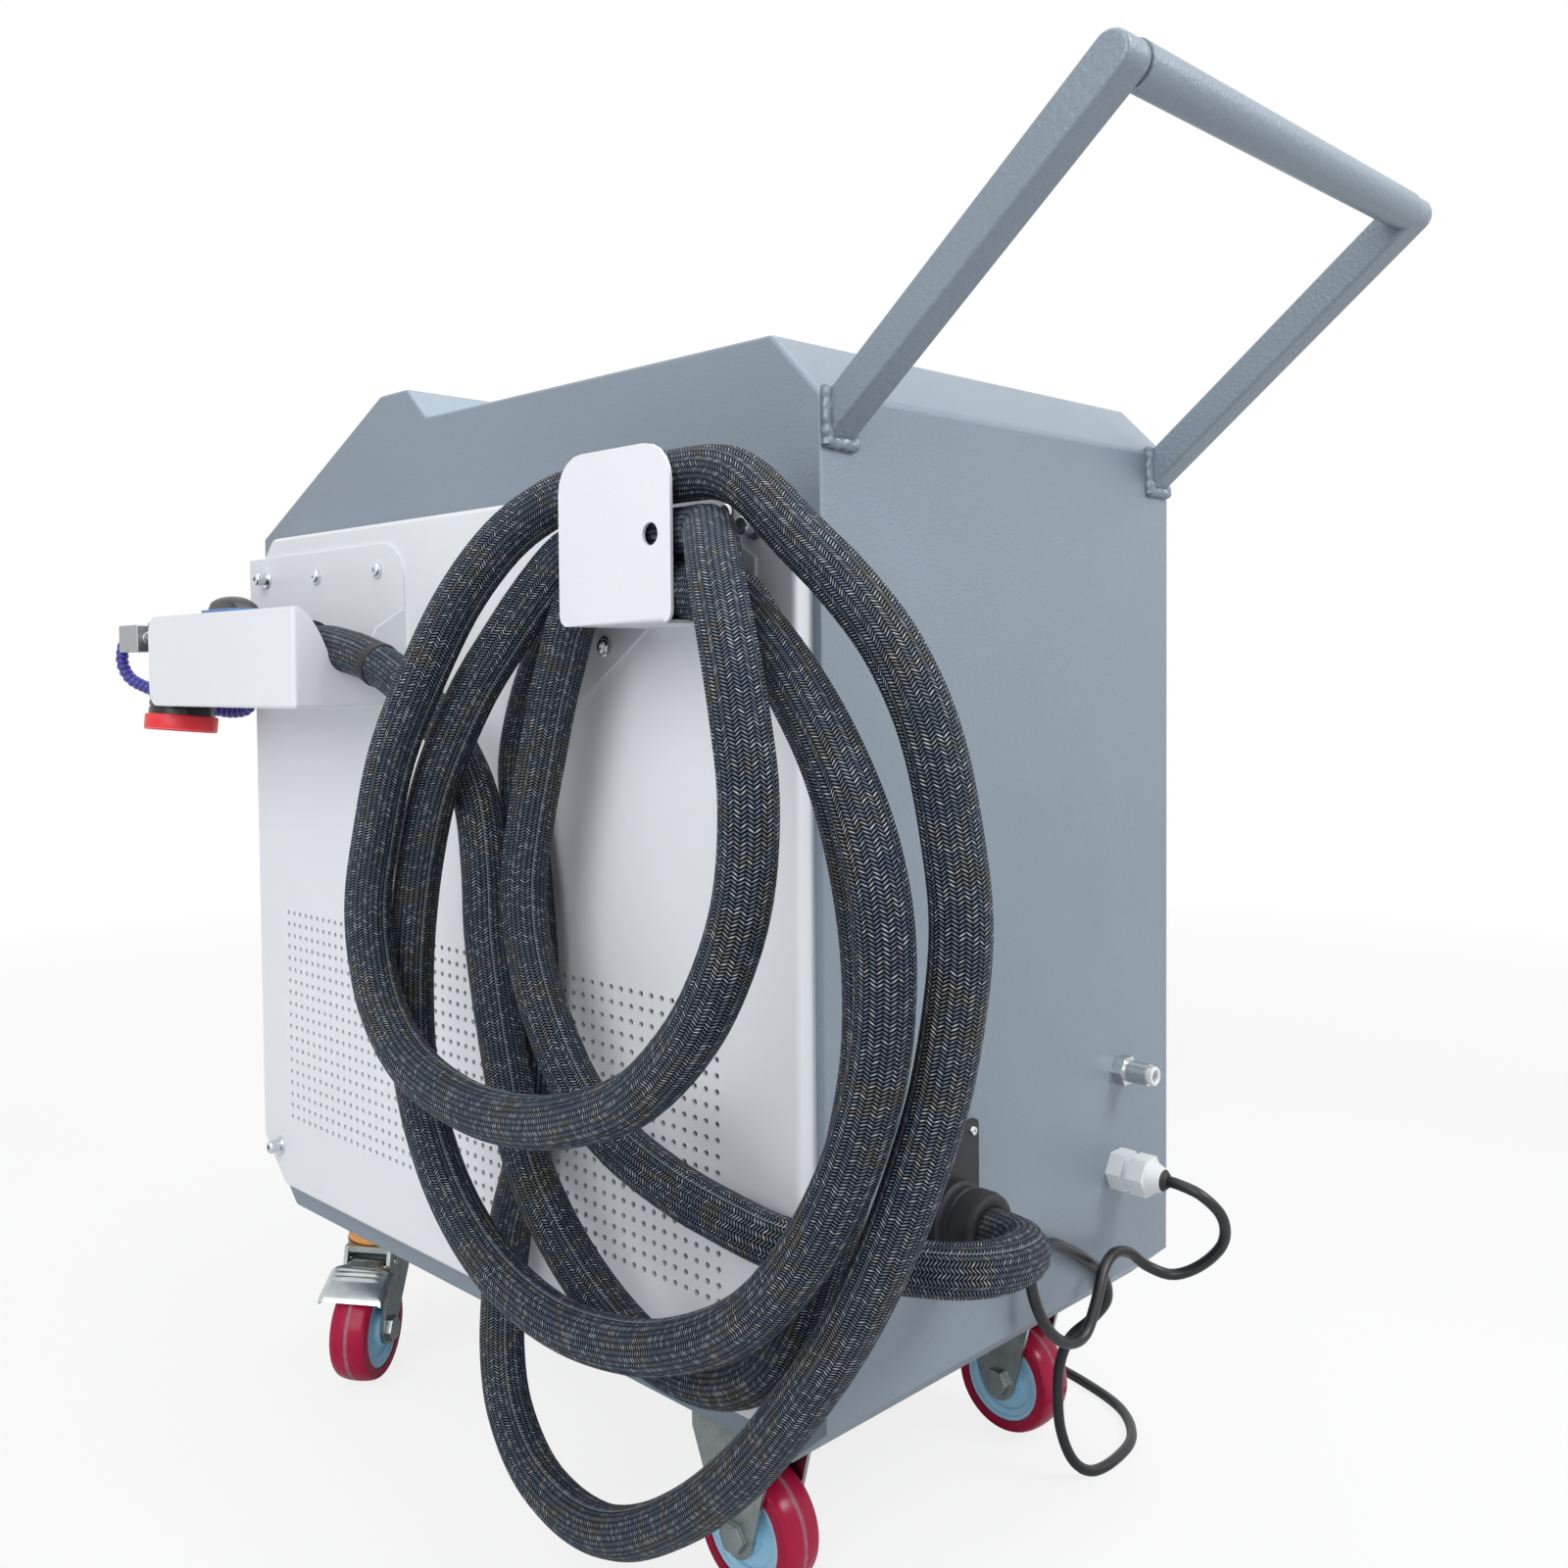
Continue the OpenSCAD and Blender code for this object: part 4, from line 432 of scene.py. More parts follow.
pins = joined("plug_pins", *[
    lathe("plug_pin", [(0, -4), (2.4, -4), (2.4, 16.5), (1.9, 18.5), (0.9, 19), (0, 19)], 20,
          plug_place + Vector((aside, -0.064, 0)), "-Y") for aside in (-0.0095, 0.0095)])
pin_metal = mottled("plug_pin_metal", "d8d4c4 c2bda8", 0.2, 0.15, 0.002, spot=0.004, Metallic=1.0)
settle(pins, "bright_steel", pin_metal)


# Cabinet: folded steel sheet, 2 mm thick, in blue-grey powder coat. The sheet wraps from
# the underside round front, slope, hump and rear, between the two side walls.
def cad_copy(node, name, flat=lambda face: True):
    """A new piece from a node's mesh, its loose triangles joined and its flats whole."""
    pick(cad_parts[node])
    bpy.ops.object.duplicate()
    piece = bpy.context.object
    piece.name = name
    piece.parent = None
    piece.data.materials.clear()
    for key in list(piece.keys()):
        del piece[key]
    bpy.ops.object.mode_set(mode="EDIT")
    bpy.ops.mesh.select_all(action="SELECT")
    bpy.ops.mesh.customdata_custom_splitnormals_clear()
    bpy.ops.mesh.remove_doubles(threshold=2e-5)
    bpy.ops.mesh.select_mode(type="FACE")
    bpy.ops.mesh.select_all(action="DESELECT")
    shape = bmesh.from_edit_mesh(piece.data)
    for face in shape.faces:
        face.select_set(flat(face))
    bmesh.update_edit_mesh(piece.data)
    bpy.ops.mesh.dissolve_limited(angle_limit=math.radians(0.4))
    bpy.ops.object.mode_set(mode="OBJECT")
    return piece


def round_folds(piece, radius, steps, chosen):
    """Rounds the edges that chosen picks, as a sheet is where it is bent."""
    pick(piece)
    bpy.ops.object.mode_set(mode="EDIT")
    bpy.ops.mesh.select_mode(type="EDGE")
    bpy.ops.mesh.select_all(action="DESELECT")
    shape = bmesh.from_edit_mesh(piece.data)
    for edge in shape.edges:
        if chosen(edge.verts[0].co, edge.verts[1].co):
            edge.select_set(True)
    bmesh.update_edit_mesh(piece.data)
    bpy.ops.mesh.bevel(offset=radius, segments=steps, profile=0.5, clamp_overlap=False)
    bpy.ops.object.mode_set(mode="OBJECT")


def applied(piece, kind, **settings):
    """Adds a modifier with its settings to a piece and applies it."""
    pick(piece)
    bpy.ops.object.modifier_add(type=kind)
    for key, value in settings.items():
        setattr(piece.modifiers[-1], key, value)
    bpy.ops.object.modifier_apply(modifier=piece.modifiers[-1].name)


def break_edges(piece, width, steps=2, angle=28):
    """Takes the sharpness off the edges, and keeps the flats flat in the light."""
    if width:
        applied(piece, "BEVEL", width=width, segments=steps, limit_method="ANGLE",
                angle_limit=math.radians(angle))
    pick(piece)
    bpy.ops.object.shade_smooth_by_angle(angle=math.radians(32))
    applied(piece, "WEIGHTED_NORMAL", keep_sharp=True)


def dressed(node, name, slot, finish, width, steps=2, angle=28, body="cabinet"):
    """A node's own mesh as a finished piece, its edges broken."""
    piece = cad_copy(node, name)
    break_edges(piece, width, steps, angle)
    settle(piece, slot, finish, node, body=body)


def powder_coat(name, pale, deep, peel, depth, flake=0.0):
    """Baked powder paint: a soft cloud in the colour and the dimples of orange peel."""
    finish = Finish(name, Specular_IOR_Level=0.45, Metallic=flake)
    cloud = finish.grain(0.14, 3.0)
    speck = finish.grain(0.0012, 2.0)
    finish.set(Base_Color=finish.between((cloud * 0.8 + speck * 0.5 - 0.15).held(),
                                         paint(deep), paint(pale)),
               Roughness=0.38 + cloud * 0.08)
    return finish.relief(finish.grain(peel, 3.0), depth)


grey_powder = powder_coat("grey_powder", "8b98a4", "7c8995", 0.0020, 0.0003, 0.25)
shell = cad_copy("cabinet_shell", "cabinet_folded_shell")
fold_marks = [(-0.3035, 0.133), (0.3085, 0.133), (0.3385, 0.161), (0.3385, 0.770),
              (0.3005, 0.808), (-0.070, 0.808), (-0.097, 0.833), (-0.137, 0.833),
              (-0.3385, 0.733), (-0.3385, 0.168)]


def on_fold(place):
    return any(math.hypot(place.y - y, place.z - z) < 4e-4 for y, z in fold_marks)


round_folds(shell, 0.003, 4, lambda a, b: on_fold(a) and on_fold(b))
break_edges(shell, 0)
settle(shell, "powder_grey", grey_powder, "cabinet_shell")


# Handle: two arms of square tube with rounded corners, cut at a slant and welded to the
# rear wall, and a round bar welded between them. The powder coat is thicker here, with
# coarser orange peel, and the beads show through it as a lumpy cord round each foot.
thick_powder = powder_coat("thick_grey_powder", "87949f", "75828e", 0.0030, 0.0006, 0.25)
for side in ("hose_side", "far_side"):
    dressed(f"handle_arm_{side}", f"arm_{side}", "powder_grey", thick_powder, 0.0026, 3, 25)
bar_r, bar_half = 12.2, 168.3
bar = lathe("push_bar", [(0, -bar_half)] + [(bar_r, bar_half * (i / 12 - 1)) for i in range(25)]
            + [(0, bar_half)], 64, sum(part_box("handle_bar"), Vector()) / 2, "X")
settle(bar, "powder_grey", thick_powder, "handle_bar")
weld_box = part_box("handle_welds")
bead_in, rear_wall = 0.0045, 0.3385
foot_low, foot_high = weld_box[0].z + bead_in, weld_box[1].z - bead_in
noise.seed_set(1)  # without a seed, noise_vector differs from run to run
beads = []
for outer, inner in ((0.1907, bar_half / 1000), (-0.1907, -bar_half / 1000)):
    corners = [(outer, foot_low), (inner, foot_low), (inner, foot_high), (outer, foot_high)]
    for i, (one, two) in enumerate(zip(corners, corners[1:] + corners[:1])):
        start, end = Vector((one[0], rear_wall, one[1])), Vector((two[0], rear_wall, two[1]))
        along = (end - start).normalized()
        stations = [start - along * 0.002 + (end - start + along * 0.004) * k / 8
                    for k in range(9)]
        stations = [place + Vector((0, 0.0012, 0)) + noise.noise_vector(place * 90) * 0.0009
                    for place in stations]

        def lumps(turn, run, seed=i + 7 * outer):
            drop = abs(math.sin(run * 420 + seed * 3)) * 0.0007
            return 0.0034 + drop + 0.0009 * noise.noise(Vector((run * 160, seed, turn)))

        beads.append(tube_along(f"bead_{i}", smooth_line(stations, 0.0009), lumps, 16))
settle(joined("weld_beads", *beads), "weld_grey", thick_powder, "handle_welds")


# Side panels: perforated white sheet whose rim is folded back, so that the panel stands
# 15 mm off the side wall. The bent rim is rounded, the vent holes are punched.
white_powder = powder_coat("white_powder", "e4e7eb", "dcdfe4", 0.0016, 0.00008)


def clear_of_vents(place):
    return place.z < 0.2 or place.z > 0.45 or abs(place.y) > 0.28


def roll_rim(piece, out, radius, steps):
    """Moves the front edge of the rim inward and joins it to the rim's wall with an arc."""
    bpy.ops.object.mode_set(mode="EDIT")
    shape = bmesh.from_edit_mesh(piece.data)
    walls = [face for face in shape.faces if abs(face.normal.x) < 0.5
             and any(abs(point.co.x - out) < 2e-4 and clear_of_vents(point.co)
                     for point in face.verts)]
    lean, arcs = {}, {}
    for face in walls:
        for point in face.verts:
            if abs(point.co.x - out) < 2e-4:
                lean.setdefault(point, {})[tuple(round(n, 3) for n in face.normal)] = (
                    face.normal.copy())
    for point, normals in lean.items():
        whole = sum(normals.values(), Vector())
        whole *= len(normals) / whole.length_squared
        arcs[point] = []
        for k in range(steps):
            turn = math.pi / 2 * k / steps
            arcs[point].append(shape.verts.new(
                point.co - whole * radius * (1 - math.cos(turn))
                - Vector((math.copysign(radius, out) * (1 - math.sin(turn)), 0, 0))))
        arcs[point].append(point)
    for face in walls:
        corners = list(face.verts)
        for one, two in zip(corners, corners[1:] + corners[:1]):
            if one in arcs and two in arcs:
                for k in range(steps):
                    shape.faces.new((arcs[one][k], arcs[two][k],
                                     arcs[two][k + 1], arcs[one][k + 1]))
        shape.faces.new([arcs[point][0] if point in arcs else point for point in corners])
    for point, normals in lean.items():
        whole = sum(normals.values(), Vector())
        point.co -= whole * radius * len(normals) / whole.length_squared
    bmesh.ops.delete(shape, geom=walls, context="FACES_ONLY")
    bmesh.update_edit_mesh(piece.data)
    bpy.ops.mesh.select_all(action="SELECT")
    bpy.ops.mesh.normals_make_consistent(inside=False)
    bpy.ops.object.mode_set(mode="OBJECT")


panel_out = 0.211
for name, out in (("hose_side_panel", panel_out), ("far_side_panel", -panel_out)):
    panel = cad_copy(name, name.replace("side_panel", "side_cover"), lambda face: abs(
        face.normal.x) < 0.5 and clear_of_vents(face.calc_center_median()))
    roll_rim(panel, out, 0.0036, 6)
    break_edges(panel, 0)
    settle(panel, "powder_white", white_powder, name)


# Hook and gun tray: white sheet, 2 mm thick, cut, folded and screwed to the side panel.
# The folds are rounded, the cut edges are only deburred.
hook = cad_copy("hose_hook", "folded_hook")
round_folds(hook, 0.0038, 5, lambda a, b: all(
    abs(p.x - 0.279) < 2e-4 and abs(p.z - 0.637) < 2e-4 for p in (a, b)))
break_edges(hook, 0.0004, 2, 40)
settle(hook, "powder_white", white_powder, "hose_hook")
tray = cad_copy("gun_tray", "folded_tray")


def on_tray_fold(a, b):
    """The fold under the front wall, the one under the end wall, and the corner's."""
    low = all(abs(p.z - 0.585) < 2e-4 for p in (a, b))
    front = all(abs(p.x - 0.306) < 2e-4 for p in (a, b))
    end = all(abs(p.y + 0.0786) < 2e-4 for p in (a, b))
    return (low and front and (a - b).length > 0.03) or (low and end) or (front and end)


round_folds(tray, 0.0034, 5, on_tray_fold)
round_folds(tray, 0.0095, 6, lambda a, b: abs(a.y - b.y) > 0.0015 and all(
    any(math.hypot(p.x - x, p.z - z) < 3e-4 for x, z in ((0.298, 0.660), (0.286, 0.645)))
    and p.y > -0.0812 for p in (a, b)))
break_edges(tray, 0.0004, 2, 40)
settle(tray, "powder_white", white_powder, "gun_tray")


# Screws: zinc-plated pan heads with a hex socket hold the hook and the tray, smaller ones
# the exit plate, and long round heads over a collar hold the side panels by hand.
def copied(source, matrix, name):
    """Another of a modelled shape, moved to its place."""
    one = source.copy()
    one.data = source.data.copy()
    one.data.transform(matrix)
    one.name = name
    bpy.context.scene.collection.objects.link(one)
    return one


def copies(source, name, places):
    """One piece from copies of a modelled shape, which is used up."""
    made = [copied(source, matrix, name) for matrix in places]
    bpy.data.objects.remove(source)
    return joined(name, *made)


def socket_head(name, outline, sides, socket, depth):
    """A turned screw head with a hexagon socket cut into its top."""
    head = lathe(name, outline, sides)
    bpy.ops.mesh.primitive_cylinder_add(vertices=6, radius=socket, depth=2 * depth,
                                        location=(0, 0, outline[-1][1] / 1000))
    cutter = bpy.context.object
    applied(head, "BOOLEAN", object=cutter, operation="DIFFERENCE")
    bpy.data.objects.remove(cutter)
    bpy.ops.object.shade_smooth_by_angle(angle=math.radians(35))
    return head


def plated(name, pale, deep, rough, size=0.006):
    """Zinc plate: bright, a little blotchy, with fine drawing lines in its gloss."""
    finish = Finish(name, Metallic=1.0)
    blotch = finish.grain(size, 4.0)
    finish.set(Base_Color=finish.between(blotch, paint(deep), paint(pale)),
               Roughness=blotch * 0.16 + rough)
    return finish.relief(finish.grain(0.0009, 3.0), 0.00005)


bright_zinc = plated("bright_zinc", "e4e7ea", "c3c8cd", 0.16)
pan = socket_head("pan_head", [
    (0, 0), (6.5, 0), (6.5, 1.6), (5.4, 1.8), (5.3, 2.6), (4.4, 3.7), (3, 4),
    (0, 4)], 32, 0.0021, 0.0018)
outward = Matrix.Rotation(math.pi / 2, 4, "Y")
bracket_out = 0.213
pans = copies(pan, "bracket_pan_heads", [
    Matrix.Translation((bracket_out, y, z)) @ outward @ Matrix.Rotation(spin, 4, "Z")
    for y, z, spin in ((-0.1156, 0.692, 0.2), (-0.212, 0.692, 0.9), (0.1645, 0.6265, 0.4),
                       (0.224, 0.704, 1.1), (0.280, 0.704, 0.6))])
small = socket_head("small_head", [
    (0, 0), (3.2, 0), (3.2, 0.8), (2.6, 1.8), (1.8, 2), (0, 2)], 24, 0.0011, 0.0009)
exit_place = Vector((0.078, 0.3415, 0.258))
small = copies(small, "exit_plate_screws", [
    Matrix.Translation(exit_place + Vector((x, 0, z))) @ Matrix.Rotation(-math.pi / 2, 4, "X")
    for x in (-0.021, 0.021) for z in (-0.029, 0.053)])
settle(pans, "bright_steel", bright_zinc, "bracket_screws")
settle(small, "bright_steel", bright_zinc)
thumb = socket_head("thumb_head", [
    (0, 0), (8, 0), (8, 1.4), (7.4, 2), (5, 2.1), (5, 3.4), (5.5, 4), (5.5, 10.8), (4.8, 11.7),
    (3.5, 12), (0, 12)], 36, 0.0024, 0.003)
thumbs = copies(thumb, "panel_thumb_screws", [
    Matrix.Scale(side, 4, (1, 0, 0)) @ Matrix.Translation((x, y, z)) @ outward
    for side in (1, -1) for y, z, x in (
        (-0.3, 0.192, panel_out), (0.3, 0.192, panel_out), (0.3, 0.694, panel_out),
        (-0.3, 0.694, bracket_out if side > 0 else panel_out))])
bpy.ops.object.mode_set(mode="EDIT")
bpy.ops.mesh.select_all(action="SELECT")
bpy.ops.mesh.normals_make_consistent(inside=False)
bpy.ops.object.mode_set(mode="OBJECT")
settle(thumbs, "bright_steel", bright_zinc, "panel_screws")


# Hose exit: a black plate with a clamped ring of hard rubber, through which the hose
# leaves the rear wall; a steel band with its screw holds the ring on the sleeve.
black_paint = mottled("black_paint", "1b1c20", 0.42, 0.16, 0.02, 0.0012, 0.00012)
dressed("hose_exit_plate", "exit_plate", "black_metal", black_paint, 0.0005, 2, 40)
boot = lathe("exit_boot", [
    (15.8, 0), (25.8, 0), (26, 0.8), (26, 5), (25.2, 6), (23.6, 6.6), (23.3, 7.8), (23.5, 9),
    (23.5, 11.2), (22.2, 12), (22.2, 13.2), (23.5, 14), (23.5, 27), (23, 28.8), (21.5, 29.8),
    (18, 30), (15.8, 29.2), (15.8, 0)], 64, exit_place, "Y")
hard_rubber = mottled("hard_rubber", "191a1d", 0.5, 0.2, 0.01, 0.0007, 0.00018)
settle(boot, "dark_plastic", hard_rubber, "hose_exit_boot")
clamp = lathe("exit_clamp_band", [
    (23.4, 16), (24.3, 16.2), (24.3, 24.8), (23.4, 25), (23.4, 16)], 64, exit_place, "Y")
settle(clamp, "black_metal", black_paint)


# Air inlet: a nickel-plated push-in fitting with a hexagon, and its white release ring.
nickel = plated("nickel", "dcdedd", "b9bcbd", 0.14, 0.004)
dressed("air_fitting_body", "push_in_fitting", "bright_steel", nickel, 0.0005)
ring = lathe("release_ring_cap", [
    (4.1, -7.2), (5.5, -7.2), (5.5, 1.8), (6.6, 1.8), (7, 2.4), (7, 4.2), (6.4, 5), (4.8, 5),
    (4.1, 4.4), (4.1, -7.2)], 40, (-0.127, 0.3635, 0.314), "Y")
white_nylon = mottled("white_nylon", "d9dcde", 0.38, 0.14, 0.004, 0.001, 0.00006,
                      Subsurface_Weight=0.08)
settle(ring, "white_plastic", white_nylon, "air_release_ring", body="release_ring")


# Cable gland: white nylon hexagon and domed nut, ribbed for the fingers, which grip the
# cable through a black rubber seal and so relieve it of strain.
dressed("gland_body", "gland_hexagon", "white_plastic", white_nylon, 0.0007)
dressed("gland_nut", "gland_dome_nut", "white_plastic", white_nylon, 0.0012, 3)
seal = lathe("gland_seal", [
    (4, -4), (7.8, -4), (7.8, 0.2), (7, 1), (5, 3.4), (4.1, 3.8),
    (4, -4)], 40, (-0.1227, 0.3775, 0.2414), "Y")
settle(seal, "dark_plastic", hard_rubber)


# Hand gun: a cast body with rounded edges, anodised dark, lying in the tray with its lens
# pointing down. The casting is one piece from the lens head to the grip.
def softened(node, name, voxel, rounds, finish, reshape):
    """A node's own mesh as a moulding: reshaped point by point and smoothed."""
    piece = cad_copy(node, name)
    piece.data.remesh_voxel_size = voxel
    bpy.ops.object.voxel_remesh()
    for point in piece.data.vertices:
        reshape(point.co)
    applied(piece, "SMOOTH", factor=0.5, iterations=rounds)
    bpy.ops.object.shade_smooth()
    settle(piece, "dark_plastic", finish, node)


def lower_head(place, head_y=-0.325, head_z=0.650):
    if place.y < head_y and place.z > head_z:
        place.z = head_z + (place.z - head_z) * 0.55


anodised = mottled("dark_anodised", "26272b 303237", 0.38, 0.16, 0.008, 0.0007, 0.00006, 0.03,
                   Metallic=0.35)
softened("gun_housing", "gun_casting", 0.0011, 7, anodised, lower_head)

# Lens tube: turned black tube with two grip grooves and a rim, open at its end behind a
# red dust cap with a raised rim round a pale pink face.
lens_place = Vector((0.262, -0.3615, 0))
lens = lathe("lens_tube", [
    (24, 595), (24, 564.3), (26.8, 564.3), (28, 565.5), (28, 580), (27.2, 580.6), (27.2, 582.2),
    (28, 582.8), (28, 586.2), (27.2, 586.8), (27.2, 588.4), (28, 589), (28, 597.5), (29.2, 599),
    (29.2, 603), (24, 603), (24, 595)], 72, lens_place)
gloss_black = mottled("gloss_black", "141518", 0.2, 0.12, 0.02, 0.001, 0.00004)
lean_point = Matrix.Translation(lens_place + Vector((0, 0, 0.605)))
lean_out = lean_point @ Matrix.Rotation(math.radians(-6), 4, "Y") @ lean_point.inverted()
lens.data.transform(lean_out)
settle(lens, "dark_plastic", gloss_black, "gun_lens_tube")
cap = lathe("lens_cap", [
    (0, 563.8), (0, 562.2), (26.2, 562.2), (26.8, 561.2), (29.6, 561), (30.5, 561.8),
    (30.7, 563.2), (30.7, 573.5), (30, 574.8), (28.4, 575), (28.4, 564),
    (0, 563.8)], 72, lens_place)
laid_flat = cap.data.attributes.new("height", "FLOAT", "POINT")
for point, mark in zip(cap.data.vertices, laid_flat.data):
    mark.value = point.co.z
cap.data.transform(lean_out)
soft_red = mottled("soft_red_cap", "ea323b df2832", 0.36, 0.14, 0.01, Subsurface_Weight=0.06)
height = soft_red.add("Attribute", {"attribute_name": "height"}, {})["Fac"]
face = (height < 0.56235) * (height > 0.56215)
soft_red.set(Base_Color=soft_red.between(face, soft_red.colour, paint("e6c0c4")))
settle(cap, "red_plastic", soft_red, "gun_lens_cap")

# Top cover of the gun: a black moulded mound over a light blue gasket that shows as a
# line above the tray's edge.
cover_low, cover_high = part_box("gun_knob")
cover_size = cover_high - cover_low


def mound(place):
    share = (place.y - cover_low.y) / cover_size.y
    lobe = max(0, 1 - abs((share - 0.42) / 0.60) ** 2.6)
    round_top = 1 - 0.5 * (abs(place.x - lens_place.x) / 0.014) ** 3
    place.z = cover_low.z + (place.z - cover_low.z) * max(0.3, lobe * round_top)


softened("gun_knob", "gun_top_cover", 0.0012, 6, gloss_black, mound)
pick()
bpy.ops.mesh.primitive_cube_add(size=1, location=(
    cover_low.x + cover_size.x / 2, cover_low.y + cover_size.y / 2 + 0.003, cover_low.z + 0.0022))
gasket = bpy.context.object
gasket.name = "cover_gasket"
gasket.scale = (cover_size.x + 0.006, cover_size.y + 0.008, 0.0050)
bpy.ops.object.transform_apply(location=True, rotation=True, scale=True)
round_folds(gasket, 0.008, 6, lambda a, b: abs(a.z - b.z) > 0.002)
break_edges(gasket, 0.0007, 2, 35)
blue_rubber = mottled("blue_gasket", "5f8fd0", 0.4, 0.2, 0.004, 0.001, 0.00008)
settle(gasket, "blue_line", blue_rubber)
dressed("gun_trigger", "trigger_lever", "dark_plastic", gloss_black, 0.0009, body="trigger")
grey_alloy = plated("grey_alloy", "b4b7ba", "9da1a5", 0.30)
dressed("gun_air_connector", "air_connector_block", "grey_aluminium", grey_alloy, 0.0012, 3)

# Air line of the gun: a blue tube in a purple-blue spiral wrap, from the connector block
# round under the tray's open end to the nozzle's barb.
air_line = smooth_line([Vector(place) / 1000 for place in (
    (262, -478, 645), (262, -487, 644), (262, -496, 636), (261, -500, 622), (257, -492, 608),
    (249, -472, 599), (239, -442, 591), (227, -412, 583), (213, -384, 577), (205, -362, 579),
    (206, -348, 590), (210, -341, 606), (215, -338, 620), (226.8, -335.1, 632),
    (230.8, -338.1, 632), (234.8, -341.1, 632))], 0.0011)


wrap_pitch = 0.0064


def wrapped(turn, run):
    """A flat band wound round, with a gap between its turns."""
    share = (run / wrap_pitch + turn / (2 * math.pi)) % 1
    return 0.0046 + 0.0012 * min(1, max(0, 5 * (0.5 - abs(share - 0.5)) - 0.4))


spiral = tube_along("air_line_wrap", air_line, wrapped, 26)
wrap_blue = mottled("spiral_wrap", "3a35a0 4f4bb5", 0.34, 0.18, 0.003, 0.0008, 0.00008)
round_, run = wrap_blue.unrolled()
share = (run / wrap_pitch + round_) % 1
# Between the turns of the wrap the colour is painted dark (1a1640) as the shade in the gaps.
band_top = ((0.5 - abs(share - 0.5)) * 7 - 0.5).held()
wrap_blue.set(Base_Color=wrap_blue.between(band_top, paint("1a1640"), wrap_blue.colour))
settle(spiral, "blue_line", wrap_blue, "gun_air_tube")


# Casters: pressed and zinc-plated steel. The front ones swivel on an orange seal and have
# a foot brake; the rear ones are fixed. Forks and plates are folded from thick sheet.
zinc = plated("zinc", "b4bbba", "8b9391", 0.2, 0.012)
for name, width in (("caster_plates", 0.0007), ("caster_bolts", 0.0006), ("rear_forks", 0.0009),
                    ("rear_axles", 0.0008)):
    dressed(name, name + "_plated", "zinc", zinc, width)
for part, width in (("front_fork", 0.0009), ("front_axle", 0.0008)):
    for side in ("hose_side", "far_side"):
        dressed(f"{part}_{side}", f"{part}_{side}_plated", "zinc", zinc, width,
                body=f"swivel_{side}")

# Swivel seals: two bands of orange rubber with a pale line between them.
seals = lathe("seal", [
    (20.5, 111.2), (29, 111.2), (30, 112), (30, 116.6), (28.6, 117.4), (28.6, 118.4), (30, 119.2),
    (30, 124), (29, 124.8), (20.5, 124.8), (20.5, 111.2)], 64)
swivels = (("hose_side", Vector((0.146, -0.238, 0)), 35),
           ("far_side", Vector((-0.146, -0.238, 0)), 150))
seals = copies(seals, "orange_swivel_seals", [Matrix.Translation(place)
                                              for side, place, turn in swivels])
orange = mottled("orange_seal", "ffb468 faa654", 0.42, 0.16, 0.004, Subsurface_Weight=0.08)
line_between = abs(orange.parts(orange.place())[2] - 0.1179) < 0.0007
orange.set(Base_Color=orange.between(line_between, orange.colour, paint("f6d3ae")))
settle(seals, "orange_seal", orange, "swivel_seals")


# Wheels: a cast polyurethane tyre, wine red with a crowned tread and a grey mould line,
# round a light blue nylon hub with steps and a deep web.
def laid_round(piece):
    """UV of a turned piece: U once round its axle, V across it in metres."""
    while piece.data.uv_layers:
        piece.data.uv_layers.remove(piece.data.uv_layers[0])
    marks = piece.data.uv_layers.new(name="round")
    for loop in piece.data.loops:
        place = piece.data.vertices[loop.vertex_index].co
        marks.data[loop.index].uv = (math.atan2(place.y, place.x) / (2 * math.pi) + 0.5, place.z)
    piece.data.update()


tyre_outline = [(32.8, -16)]
for k in range(15):
    turn = math.pi / 2 * (k / 7 - 1)
    tyre_outline.append((38.5 + 5 * math.cos(turn) ** 0.7, 16 * math.sin(turn)))
tyre_outline += [(32.8, 16), (32.8, -16)]
tyre = lathe("tyre", tyre_outline, 96)
laid_round(tyre)
polyurethane = Finish("wine_red_tyre", Specular_IOR_Level=0.22)
across = abs(polyurethane.unrolled()[1])
scuff = polyurethane.grain(0.006, 5.0)
rolled = (1 - across / 0.0085).held()
mould = (1.35 - across / 0.0016).held()
red = polyurethane.between(polyurethane.grain(0.05), paint("b01440"), paint("9c0e36"))
red = polyurethane.between(rolled * scuff * 0.2, red, paint("b23a5c"))
polyurethane.set(Base_Color=polyurethane.between(mould * (scuff * 0.9 + 0.25), red,
                                                 paint("9a7b84")),
                 Roughness=0.2 + rolled * scuff * 0.2)
polyurethane.relief(scuff * rolled + mould * 0.4, 0.0002)
hub_half = [(13, 17.7), (14.2, 17), (14.6, 10.5), (22.8, 10), (24, 10.4), (24.7, 12.6),
            (25.6, 13.2), (28.2, 13.2), (29, 13.6), (29.4, 14.7), (30.2, 15.1),
            (32, 15.1), (32.7, 14.5)]
hub = lathe("hub", [(6.1, -17.7)] + [(r, -h) for r, h in hub_half]
            + hub_half[::-1] + [(6.1, 17.7), (6.1, -17.7)], 96)
laid_round(hub)
sky_nylon = mottled("light_blue_hub", "addcf2 9dd0ea", 0.36, 0.14, 0.01, 0.0012, 0.00006,
                    Subsurface_Weight=0.05)
wheel_trail, wheel_z = 0.038, 0.0435
wheels = []
for side, place, turn in swivels:
    trail = Vector((math.cos(math.radians(turn)), math.sin(math.radians(turn)), 0)) * wheel_trail
    wheels.append((f"front_{side}", place + trail, turn))
wheels += [("rear_hose_side", Vector((0.146, 0.231, 0)), 90),
           ("rear_far_side", Vector((-0.146, 0.231, 0)), 90)]
